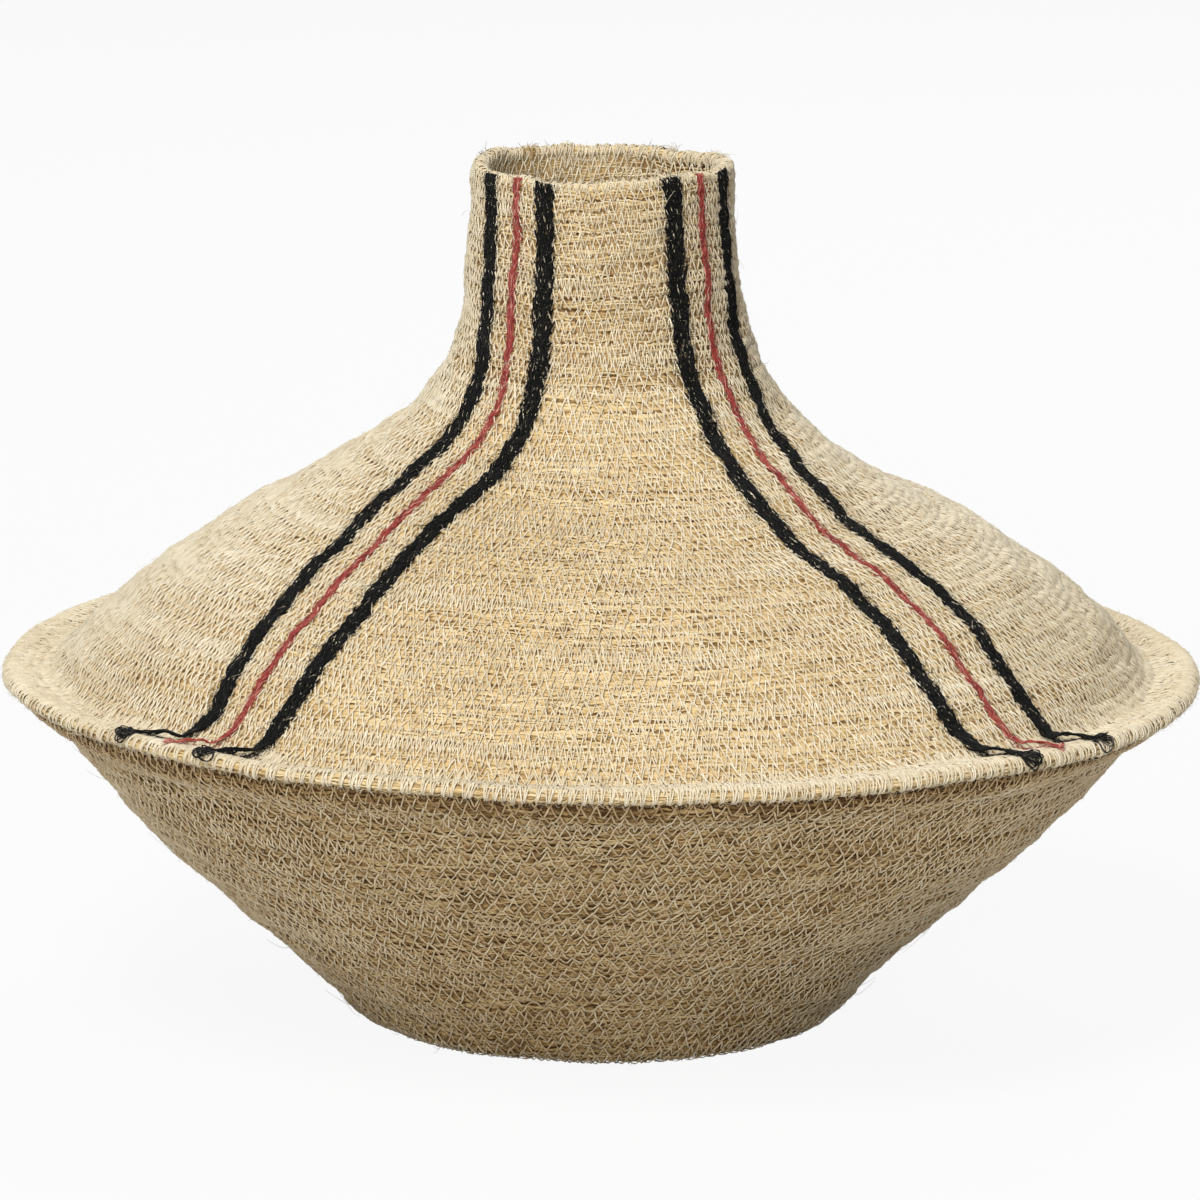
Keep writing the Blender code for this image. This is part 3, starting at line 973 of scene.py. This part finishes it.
def coilBlades(look, side):
    # loose blades of grass along the coil
    count = round(fullTurn * look["centre"][0] * side["length"] / look["bladeArea"])
    size = (count, 1)
    share = np.linspace(0, 1, 12)[None, :]
    margin = bothCoils["bladeMargin"]
    turn = chance.uniform(0, fullTurn, size)
    turn = turn + share * chance.uniform(*bothCoils["bladeLong"], size) / look["centre"][0]
    place = chance.uniform(margin, side["length"] - margin, size)
    place = place + chance.normal(0, 0.0006, size) * (share - 0.5)
    place = place + 0.0003 * np.sin(share * chance.uniform(3, 9, size))
    place = np.clip(place, 0, side["length"])
    lift = -bothCoils["bladeDepth"] - bothCoils["bladeDive"] * atEnds(share, 0.12, 0.12)
    lift = lift - pinchAt(look, turn, place) + chance.normal(0, 0.00012, size)
    wide = bothCoils["bladeWide"] * chance.uniform(0.6, 1.3, size)
    tone = chance.normal(*bothCoils["bladeTone"], size)
    return laidOn(side, turn, place, lift, wide, bothCoils["bladeThick"], bladeArch, tone)


def coilRing(look, name, turns):
    # the coil's body as a closed ring, with its grass and its thread
    around = coilSide(look, (-180, 180), 37)
    place, turn = gridOf(0, around["length"], 17, turns)
    shifted = place - around["length"] * (180 + look["arc"][0]) / 360
    points, normals = onSide(around, turn, place, -look["bodyIn"] - pinchAt(look, turn, shifted))
    grid = (points, turn, place, np.full(turn.shape, bothCoils["bodyTone"]))
    addPiece(name + "_body", bandOfGrids([grid]), body, [name])
    side = coilSide(look)
    addPiece(name + "_blades", coilBlades(look, side), grass)
    addPiece(name + "_thread", together([overcast(look, side), crestThreads(look, side)]), paleThread)


# Lines of yarn, sewn over the rows from the mouth to a knot on the edge coil

yarnLines = {
    "stationShares": (0, 0.15, 0.3, 0.42, 0.52, 0.7, 0.885, 0.93, 1),    # of the line's length
    "right": {                    # degrees from the front at those stations
        "black_inner": (31.3, 32.5, 35.2, 35.1, 36.2, 39.4, 40.0, 41.2, 43.6),
        "red": (47.2, 48.5, 49.5, 46.3, 45.5, 47.0, 46.2, 47.0, 48.7),
        "black_outer": (65.4, 67.3, 64.6, 56.0, 54.1, 54.3, 51.9, 52.7, 54.7),
    },
    "left": {
        "black_inner": (-26.2, -25.0, -24.8, -28.7, -32.8, -34.4, -35.9, -37.0, -39.5),
        "red": (-40.4, -40.2, -37.3, -40.7, -41.2, -41.5, -41.2, -42.4, -45.0),
        "black_outer": (-59.0, -55.0, -50.0, -51.0, -49.6, -47.6, -45.2, -46.9, -50.6),
    },
    "gatherFrom": 0.892,          # share of the line where it begins to be drawn together
    "gatherOver": 0.045,
    "gatherTo": 0.80,             # of its width, less this for each degree it runs sideways to its knot
    "gatherLoss": 0.065,
    "gathered": 0.7,              # yarns in it, of the number of legs
    "gatherLift": 0.0004,
    "legsPast": 0.024,            # share of the line that the legs run on past its beginning
    "bridge": (0.0030, 0.948, 0.020),     # height, share and spread of its way over the trough
    "knotFrom": 0.981,            # share of the line where its knot begins
    "knotAt": -2,                 # degrees of the edge coil where it begins
    "knotLoops": 2.1,             # of the number of legs
    "knotHeading": (-0.7, 1.5),
    "knotLong": (0.25, 1.3),      # of the line's width
    "knotLift": 0.0008,
    "knotRise": 0.0011,
    "knotTone": 0.22,             # how much lighter than the line it is
    "reach": 0.72,                # of a row, to each side of its middle
    "lift": 0.00055,
    "bulge": 0.0005,
    "legEnds": 0.0004,            # how much lower the ends of a leg lie
    "twist": 0.0017,              # length of one twist of the two plies
    "plyReach": 0.85,             # of a ply's radius, from the yarn's middle
    "skip": 0.03,
}
blackYarnSize = {
    "width": 0.0083,
    "slimmer": 0.05,
    "legs": 14,
    "ply": 0.00031,
    "slant": 0.0017,
    "hairs": 2800,
    "tone": 0.38,
}
redYarnSize = {
    "width": 0.0032,
    "slimmer": 0.0,
    "legs": 6,
    "ply": 0.00028,
    "slant": 0.0011,
    "hairs": 1200,
    "tone": 0.56,
}


def lineTurn(degrees, place):
    return np.radians(np.interp(place / upperSide["length"], yarnLines["stationShares"], degrees))


def gatheredAt(share):
    return smoothRamp((share - yarnLines["gatherFrom"]) / yarnLines["gatherOver"])


def lineWidth(size, place, degrees):
    drawn = 1 - yarnLines["gatherTo"] + yarnLines["gatherLoss"] * abs(degrees[-1] - degrees[-3])
    share = place / upperSide["length"]
    uneven = 1 + ripple(((0.07, 310, size["legs"]), (0.05, 790, 2)), place)
    slim = 1 - size["slimmer"] * smoothRamp((share - 0.1) / 0.3)
    return size["width"] * uneven * slim * (1 - drawn * gatheredAt(share))


def pliedYarn(side, turn, place, lift, ply, tone):
    # two plies twisted round each path
    paths, normals = onSide(side, turn, place, lift)
    run = runOf(paths)
    phase = fullTurn * run / yarnLines["twist"] + chance.uniform(0, fullTurn, (len(paths), 1))
    thick = ply * unevenly(run.shape, 0.12, 0.7)
    parts = []
    for half in (0.0, math.pi):
        twist = (phase + half, ply * yarnLines["plyReach"])
        tubes = makeTubes(paths, normals, thick, thick, plySection, ply=twist)
        shade = tone + chance.normal(0, 0.2, (len(paths), 1))
        parts.append(dressed(tubes, turn, place, shade.clip(0.02, 1)))
    return together(parts)


def yarnLegs(degrees, size):
    # short legs of yarn that cross every row of the coil
    legsEnd = upperSide["length"] * (yarnLines["gatherFrom"] + yarnLines["legsPast"])
    rows = int((legsEnd - neckTop) / coil["row"])
    middle = neckTop + coil["row"] * (np.arange(-0.2, rows))[:, None, None]
    share = np.linspace(0, 1, 6)[None, None, :]
    legs = np.arange(size["legs"])[None, :, None]
    offs = (legs + 0.5) / size["legs"] - 0.5 + chance.normal(0, 0.035, (len(middle), size["legs"], 1))
    lean = np.where(legs % 2 == 0, 1.0, -1.0) * size["slant"] + chance.normal(0, 0.0006, offs.shape)
    place = middle + (share - 0.5) * 2 * yarnLines["reach"] * coil["row"]
    place = np.clip(place + chance.normal(0, 0.0004, offs.shape), 0.0006, upperSide["length"])
    across = offs * lineWidth(size, place, degrees) + lean * (share - 0.5)
    turn = lineTurn(degrees, place) + across / sideRadius(upperSide, place)
    lift = yarnLines["lift"] + yarnLines["bulge"] * np.sin(np.pi * share) ** 0.7 - yarnLines["legEnds"]
    lift = lift + chance.normal(0, 0.00022, offs.shape)
    keep = (chance.random(offs.shape[:2]) > yarnLines["skip"]).reshape(-1)
    turn, place, lift = (values.reshape(-1, share.size)[keep] for values in (turn, place, lift))
    return pliedYarn(upperSide, turn, place, lift, size["ply"], size["tone"])


def yarnGathered(degrees, size):
    # the yarns drawn together over the trough, up onto the edge coil
    many = round(size["legs"] * yarnLines["gathered"])
    number = np.arange(many)[:, None]
    ends = yarnLines["knotFrom"] + chance.uniform(0.0, 0.008, (many, 1))
    share = yarnLines["gatherFrom"] + (ends - yarnLines["gatherFrom"]) * np.linspace(0, 1, 24)[None, :]
    place = share * upperSide["length"]
    offs = (number + 0.5) / many - 0.5 + 0.2 * np.sin(share * 190 + number * 2)
    turn = lineTurn(degrees, place) + offs * lineWidth(size, place, degrees) / sideRadius(upperSide, place)
    gathered = gatheredAt(share)
    place = place - 0.8 * gathered * offs * lineWidth(size, place, degrees)
    heap = (yarnLines["gatherLift"] + 0.0005 * np.cos(np.pi * offs)) * gathered
    height, middle, spread = yarnLines["bridge"]
    bridge = height * np.exp(-(((share - middle) / spread) ** 2))
    lift = yarnLines["lift"] + yarnLines["gatherLift"] + heap + bridge
    return pliedYarn(upperSide, turn, place, lift, size["ply"], size["tone"])


def yarnKnot(degrees, size):
    # a bunch of loose loops on the edge coil, each out and back to the end of the gathered yarn
    many = (round(size["legs"] * yarnLines["knotLoops"]), 1)
    share = np.linspace(0, 1, 15)[None, :]
    onward = math.copysign(1.0, degrees[-1] - degrees[-2])
    heading = chance.uniform(*yarnLines["knotHeading"], many)
    long = size["width"] * chance.uniform(*yarnLines["knotLong"], many)
    out = long * np.sin(math.pi * share)
    aside = long * chance.uniform(-0.5, 0.5, many) * np.sin(fullTurn * share)
    around = out * np.cos(heading) - aside * np.sin(heading)
    along = out * np.sin(heading) + aside * np.cos(heading)
    side = coilSide(edgeCoil)
    place = np.clip(placeOf(edgeCoil, yarnLines["knotAt"]) + 0.7 * along, 0, side["length"])
    start = yarnLines["knotFrom"] * upperSide["length"]
    turn = lineTurn(degrees, start) + onward * around / edgeCoil["centre"][0]
    rise = yarnLines["knotRise"] * np.sin(math.pi * share) * chance.uniform(0.1, 1.5, many)
    tone = size["tone"] + yarnLines["knotTone"]
    return pliedYarn(side, turn, place, yarnLines["knotLift"] + rise, size["ply"] * 0.8, tone)


def fibres(side, turn, place, lift, long, rise, curl, radius, tone, steps):
    # fine loose fibres: each leaves the basket with some rise, in a heading of its own
    root, normal = onSide(side, turn, place, lift)
    around = np.stack([np.cos(turn), np.sin(turn), 0 * turn], -1)
    down = np.cross(normal, around)
    heading = chance.uniform(0, fullTurn, (len(turn), 1))
    ahead = around * np.cos(heading) + down * np.sin(heading)
    aside = np.cross(normal, ahead)
    share = np.linspace(0, 1, steps)[None, :, None]
    long, rise, curl = (values[:, None, None] for values in (long, rise, curl))
    lifted = rise * share - 0.35 * rise * share ** 2
    paths = root[:, None] + long * (
        normal[:, None] * lifted
        + ahead[:, None] * share * np.sqrt(np.maximum(1 - rise ** 2, 0.05))
        + aside[:, None] * curl * share ** 2
    )
    paths[..., 2] = np.maximum(paths[..., 2], 0.0001)
    thin = radius * np.linspace(1.0, 0.45, steps)[None, :]
    tubes = makeTubes(paths, np.broadcast_to(aside[:, None], paths.shape), thin, thin, hairSection)
    return dressed(tubes, turn[:, None], place[:, None], tone[:, None])


yarnHair = {
    "long": (0.0012, 0.0046),
    "rise": (0.1, 0.6),
    "curl": 0.6,
    "radius": 0.00012,
    "tone": (0.1, 0.85),
    "lift": 0.0006,
    "spread": 0.36,               # of the line's width
    "first": 0.0006,
    "last": 0.985,                # share of the line
}


def yarnHairs(degrees, size):
    many = size["hairs"]
    place = chance.uniform(yarnHair["first"], upperSide["length"] * yarnHair["last"], many)
    across = chance.normal(0, yarnHair["spread"], many) * lineWidth(size, place, degrees)
    turn = lineTurn(degrees, place) + across / sideRadius(upperSide, place)
    long = chance.uniform(*yarnHair["long"], many)
    rise = chance.uniform(*yarnHair["rise"], many)
    curl = chance.normal(0, yarnHair["curl"], many)
    tone = chance.uniform(*yarnHair["tone"], many)
    return fibres(upperSide, turn, place, yarnHair["lift"], long, rise, curl, yarnHair["radius"], tone, 3)


def addYarnLines():
    # the two sets at the back lie half a turn from those in front
    places = {
        "front_right": ("right", 0),
        "front_left": ("left", 0),
        "back_right": ("left", 180),
        "back_left": ("right", 180),
    }
    for place, (which, added) in places.items():
        for line, degrees in yarnLines[which].items():
            degrees = [value + added for value in degrees]
            ending = place + "_" + line
            if line == "red":
                size, material, slot = redYarnSize, redYarn, "red_yarn"
            else:
                size, material, slot = blackYarnSize, blackYarn, "black_yarn"
            parts = [maker(degrees, size) for maker in (yarnLegs, yarnGathered, yarnKnot, yarnHairs)]
            addPiece("yarn_" + ending, together(parts), material, ["line_" + ending])


# Loose fibres all over, long hairs, and the frayed end of the coil in the mouth

loose = {
    "bowl": 11000,
    "upper": 13000,
    "neck": 4500,
    "edge": 6000,
    "short": 0.0007,
    "long": 0.0040,
    "mostlyShort": 2.2,
    "rise": (0.2, 0.95),
    "curl": 0.6,
    "curlMost": 1.2,
    "radius": 0.0001,
    "lift": -0.0001,
    "tone": (0.75, 0.15),         # mean and spread
}
stray = {
    "many": 130,
    "long": (0.005, 0.014),
    "rise": (0.1, 0.7),
    "curl": 0.9,
    "curlMost": 1.2,
    "radius": 0.00012,
    "tone": (0.85, 0.1),
}


def fuzz(side, first, last, many):
    # evenly over the surface, so more of them where the basket is wide
    place = chance.uniform(first, last, many * 3)
    keep = chance.random(many * 3) < sideRadius(side, place) / side["radius"].max()
    place = place[keep][:many]
    count = len(place)
    turn = chance.uniform(0, fullTurn, count)
    share = chance.random(count) ** loose["mostlyShort"]
    long = loose["short"] + (loose["long"] - loose["short"]) * share
    rise = chance.uniform(*loose["rise"], count)
    curl = chance.normal(0, loose["curl"], count).clip(-loose["curlMost"], loose["curlMost"])
    tone = chance.normal(*loose["tone"], count).clip(0.1, 1)
    return fibres(side, turn, place, loose["lift"], long, rise, curl, loose["radius"], tone, 3)


def strays(side, first, last):
    # a few long hairs
    many = stray["many"]
    place = chance.uniform(first, last, many)
    turn = chance.uniform(0, fullTurn, many)
    long = chance.uniform(*stray["long"], many)
    rise = chance.uniform(*stray["rise"], many)
    curl = chance.normal(0, stray["curl"], many).clip(-stray["curlMost"], stray["curlMost"])
    tone = chance.normal(*stray["tone"], many).clip(0.1, 1)
    return fibres(side, turn, place, 0.0, long, rise, curl, stray["radius"], tone, 7)


mouthTufts = (                    # turn, degrees of the coil, number of fibres, their length and rise
    (144, -10, 26, 0.0068, 0.85),
    (106, 15, 24, 0.0062, 0.75),
    (-104, 0, 14, 0.0045, 0.8),
    (-76, -62, 16, 0.0110, 0.35),
    (-163, -20, 10, 0.0035, 0.7),
)
frayedEnd = (-141, -82, 60, 0.0050, 0.14)
tuftFibre = (0.8, 0.00013)        # tone and radius
frayedFibre = (0.45, 0.00026)


def tuft(look, turn, degrees, many, long, rise, tone, radius):
    side = coilSide(look)
    turn = math.radians(turn) + chance.normal(0, 0.02, many)
    place = np.clip(placeOf(look, degrees) + chance.normal(0, 0.0005, many), 0, side["length"])
    long = long * chance.uniform(0.4, 1.0, many)
    rise = chance.normal(rise, 0.1, many).clip(0.1, 0.97)
    curl = chance.normal(0, 0.6, many)
    tone = chance.normal(tone, 0.12, many).clip(0.05, 1)
    return fibres(side, turn, place, -0.0003, long, rise, curl, radius, tone, 6)


# The basket's sides and windings

neckTop = 0.0031                  # where the neck's wall begins, by its place on the upper side
edgeWidth = 0.0072                # of the edge coil, along the upper side
neckInsideDepth = 0.006           # so that the neck's inside is flush with the mouth coil's
bowlPaintedShade = 0.43                  # painted shade: how much darker the bowl is painted right under the rim, in the edge coil's shadow
insideDegrees = (-50, -85)        # of the mouth coil's section, down to the neck's inside
baseRadii = (0.0006, 0.05, basket["baseRadius"] - basket["gap"])


def insideOf(side, first, last, thick=basket["wall"]):
    # the inner side of a wall, as points of an outline
    keep = (side["place"] >= first) & (side["place"] <= last)
    radius = side["radius"][keep] - side["outwards"][keep] * thick
    height = side["height"][keep] - side["upwards"][keep] * thick
    return list(np.stack([radius, height], -1)[::8])


print("outlines")
bowlSide = makeSide(bowlOutline(), facing=-1, shade=bowlPaintedShade)
upperSide = makeSide(upperOutline())
neckEnd = float(np.interp(-basket["neckFootHeight"], -upperSide["height"], upperSide["place"]))
edgeStart = upperSide["length"] - edgeWidth
mouthInside = roundCoil(mouthCentre(), basket["mouthCoil"], insideDegrees)
neckInside = mouthInside + insideOf(upperSide, neckTop, neckEnd, neckInsideDepth)
neckInside = makeSide(neckInside, facing=-1, waves=-1.0, start=neckTop)
shoulderInside = makeSide(insideOf(upperSide, neckEnd, edgeStart), facing=-1, waves=-1.0, start=neckEnd)
bowlInside = makeSide(insideOf(bowlSide, 0.0, bowlSide["length"]), waves=-1.0)
underBase = makeSide([(radius, 0.0) for radius in baseRadii], facing=-1, waves=0.0)
overBase = makeSide([(radius, basket["wall"]) for radius in baseRadii], waves=0.0)

# each side's half stitch, reach in rows and slant
windings = {
    "bowl": makeWinding(bowlSide, 0.0016, bowlSide["length"] - 0.0008, 0.0030, 0.66, 0.05),
    "shoulder": makeWinding(upperSide, neckEnd, upperSide["length"] - 0.0048, 0.0021, 0.82, 0.26),
    "neck": makeWinding(upperSide, 0.0008, neckEnd - 0.002, 0.0017, 0.66, 0.14),
    "neckInside": makeWinding(neckInside, 0.0010, neckInside["length"], 0.0024, 0.78, 0.1),
    "shoulderInside": makeWinding(shoulderInside, 0.0, shoulderInside["length"], 0.004, 0.7, 0.0),
    "bowlInside": makeWinding(bowlInside, 0.0, bowlInside["length"], 0.004, 0.7, 0.0),
    "underBase": makeWinding(underBase, 0.004, underBase["length"] - 0.002, 0.004, 0.7, 0.0),
    "overBase": makeWinding(overBase, 0.004, overBase["length"] - 0.002, 0.004, 0.7, 0.0),
}

print("materials")
grass = fibreMaterial("golden_grass", grassLook)
paleThread = fibreMaterial("sewing_thread", threadLook)
bowlShadedThread = fibreMaterial("bowl_thread", bowlShadedThreadLook)
body = fibreMaterial("coil_body", coreLook)
blackYarn = fibreMaterial("black_yarn", blackLook)
redYarn = fibreMaterial("red_yarn", redLook)

print("coil bodies")


def closedWall(name, outside, inside, slot):
    # a wall's body: its outside, its inside and the end between them
    inside = tuple(grid[:, ::-1] for grid in inside)
    closing = tuple(grid[:, :1] for grid in outside)
    addPiece(name, bandOfGrids([outside, inside, closing]), body, [slot])


def shellBody(name, outer, inner, first, last, slot, tone):
    outer, inner = windings[outer], windings[inner]
    turns = round(fullTurn * outer["side"]["radius"].mean() / coil["turnStep"])
    outside = coilBody(outer, first, last, turns, coil["perRow"], coil["bodyDepth"], tone=tone)
    inside = coilBody(inner, 0.0, inner["side"]["length"], turns, 1, coil["innerDepth"], sewn=False)
    closedWall(name, outside, inside, slot)


# painted shade: the bowl's body has the lowest tone, darker than the shoulder's and the neck's
shellBody("bowl_body", "bowl", "bowlInside", 0.0, bowlSide["length"], "bowl_wall", 0.0)
shellBody("shoulder_body", "shoulder", "shoulderInside", neckEnd, edgeStart, "shoulder", 0.34)
shellBody("neck_body", "neck", "neckInside", neckTop, neckEnd, "neck", 0.16)

print("base")


def addBase(turns=160):
    both = [windings["underBase"], windings["overBase"]]
    under, over = (
        coilBody(winding, 0.0, winding["side"]["length"], turns, coil["perRow"], coil["innerDepth"])
        for winding in both
    )
    closedWall("base_body", under, over, "base_disc")
    for side, winding in zip(("under", "over"), both):
        inPieces("base_blades_" + side, winding, 1, bladesOn, blade, grass)
        inPieces("base_thread_" + side, winding, 1, zigzagOn, thread, paleThread)


addBase()

print("blades of grass")
# painted shade: the bowl's blades are darker, and darker under the stitches, than the shoulder's
bowlBlade = dict(
    blade, tone=0.47, toneSpread=0.21, pressedPaintedShade=0.34, depth=0.00046, spread=0.80, sway=0.15, wide=0.0006
)
shoulderBlade = dict(
    blade, tone=0.63, toneSpread=0.12, pressedPaintedShade=0.14, depth=0.00030, spread=0.78, wide=0.0006
)
insideBlade = dict(blade, tone=0.76)
inPieces("bowl_blades", windings["bowl"], 4, bladesOn, bowlBlade, grass)
inPieces("shoulder_blades", windings["shoulder"], 4, bladesOn, shoulderBlade, grass)
inPieces("neck_blades", windings["neck"], 1, bladesOn, blade, grass)
inPieces("neck_inside_blades", windings["neckInside"], 1, bladesOn, insideBlade, grass)

print("sewing thread")
bowlThread = dict(thread, tone=0.72, toneSpread=0.17, wide=0.00037, uneven=0.14, unevenReach=0.10)
neckThread = dict(thread, tone=0.66, wide=0.00029)
insideThread = dict(thread, tone=0.72)
shoulderThread = dict(thread, tone=0.68, toneSpread=0.13, underLegPaintedShade=0.05, wide=0.00031)
inPieces("bowl_thread", windings["bowl"], 4, zigzagOn, bowlThread, bowlShadedThread)
inPieces("shoulder_thread", windings["shoulder"], 4, zigzagOn, shoulderThread, paleThread)
addPiece("lip_thread", lipThreads(), paleThread)
inPieces("neck_thread", windings["neck"], 1, zigzagOn, neckThread, paleThread)
inPieces("neck_inside_thread", windings["neckInside"], 1, zigzagOn, insideThread, paleThread)

print("edge and mouth coils")
coilRing(edgeCoil, "rim_coil", 1400)
coilRing(mouthCoil, "mouth_coil", 500)

print("lines of yarn")
addYarnLines()

print("loose fibres")
edgeSide = coilSide(edgeCoil)
addPiece("bowl_fuzz", together([
    fuzz(bowlSide, 0.004, bowlSide["length"], loose["bowl"]),
    strays(bowlSide, 0.01, bowlSide["length"]),
]), paleThread)
addPiece("shoulder_fuzz", together([
    fuzz(upperSide, 0.001, edgeStart, loose["upper"]),
    strays(upperSide, 0.001, edgeStart),
]), paleThread)
addPiece("neck_fuzz", fuzz(upperSide, 0.001, neckEnd, loose["neck"]), paleThread)
tufts = [tuft(mouthCoil, *place, *tuftFibre) for place in mouthTufts]
addPiece("mouth_tufts", together(tufts), paleThread)
addPiece("frayed_end", tuft(mouthCoil, *frayedEnd, *frayedFibre), grass)
addPiece("rim_fuzz", fuzz(edgeSide, 0.002, edgeSide["length"], loose["edge"]), paleThread)

# Floor, light and camera

camera = {
    "distance": 4.139,
    "rise": math.radians(11.883),
    "aimHeight": 0.1597,
    "lens": 269.4,
    "sensor": 36.0,
    "clipEnd": 100,
    "shiftX": -0.0008,
    "shiftY": 0.0577,
}


def addCamera():
    data = bpy.data.cameras.new("camera")
    data.lens = camera["lens"]
    data.sensor_width = camera["sensor"]
    data.shift_x = camera["shiftX"]
    data.shift_y = camera["shiftY"]
    data.clip_end = camera["clipEnd"]
    eye = bpy.data.objects.new("camera", data)
    rise = camera["rise"]
    eye.location = (
        0.0,
        -camera["distance"] * math.cos(rise),
        camera["aimHeight"] + camera["distance"] * math.sin(rise),
    )
    eye.rotation_euler = (math.pi / 2 - rise, 0, 0)
    bpy.context.scene.collection.objects.link(eye)
    bpy.context.scene.camera = eye


studio = {
    "floorHalf": 30.0,
    "floorDrop": 0.0004,
    "floorColour": (0.60, 0.60, 0.60, 1),
    "floorWhite": 0.92,           # how much of the seen floor is plain white
    "worldLight": 0.10,
    "skyWhite": 0.926,            # as bright as the floor far off
    "lamps": {                    # place, size and power of each
        "key": ((-1.1, -2.4, 3.4), 1.5, 142),
        "low": ((-0.5, -3.9, 1.3), 0.9, 63),
        "right": ((3.0, -1.4, 2.4), 1.2, 14),
        "back": ((0.8, 2.6, 2.6), 1.6, 62),
    },
    "lampAim": (0, 0, 0.17),
}
plainWhite = (1, 1, 1, 1)


def addLamp(name, place, size, power):
    data = bpy.data.lights.new(name, "AREA")
    data.size = size
    data.energy = power
    lamp = bpy.data.objects.new(name, data)
    lamp.location = place
    towards = np.array(studio["lampAim"]) - np.array(place)
    flat = math.hypot(towards[0], towards[1])
    lamp.rotation_euler = (math.atan2(flat, -towards[2]), 0, math.atan2(-towards[0], towards[1]))
    bpy.context.scene.collection.objects.link(lamp)


def seen(tree, amount):
    # this amount where the camera looks at it, and none in its light on the basket
    rays = tree.nodes.new("ShaderNodeLightPath")
    return combine(tree, "MULTIPLY", rays.outputs["Is Camera Ray"], amount)


def addFloor():
    half = studio["floorHalf"]
    corners = [(-half, -half, 0), (half, -half, 0), (half, half, 0), (-half, half, 0)]
    mesh = bpy.data.meshes.new("floor")
    mesh.from_pydata(corners, [], [(0, 1, 2, 3)])
    floor = bpy.data.objects.new("floor", mesh)
    floor.location = (0, 0, -studio["floorDrop"])
    bpy.context.scene.collection.objects.link(floor)
    material = bpy.data.materials.new("floor")
    material.use_nodes = True
    tree = material.node_tree
    tree.nodes.clear()
    output = tree.nodes.new("ShaderNodeOutputMaterial")
    diffuse = tree.nodes.new("ShaderNodeBsdfDiffuse")
    diffuse.inputs["Color"].default_value = studio["floorColour"]
    white = tree.nodes.new("ShaderNodeEmission")
    white.inputs["Color"].default_value = plainWhite
    mix = tree.nodes.new("ShaderNodeMixShader")
    tree.links.new(seen(tree, studio["floorWhite"]), mix.inputs["Fac"])
    tree.links.new(diffuse.outputs[0], mix.inputs[1])
    tree.links.new(white.outputs[0], mix.inputs[2])
    tree.links.new(mix.outputs[0], output.inputs["Surface"])
    mesh.materials.append(material)


def addLight():
    world = bpy.data.worlds.new("studio")
    world.use_nodes = True
    tree = world.node_tree
    background = tree.nodes["Background"]
    background.inputs["Color"].default_value = plainWhite
    sky = seen(tree, studio["skyWhite"] - studio["worldLight"])
    tree.links.new(combine(tree, "ADD", sky, studio["worldLight"]), background.inputs["Strength"])
    bpy.context.scene.world = world
    for name, (place, size, power) in studio["lamps"].items():
        addLamp(name, place, size, power)


print("studio")
addFloor()
addLight()
addCamera()
bpy.context.scene.view_settings.view_transform = "Standard"
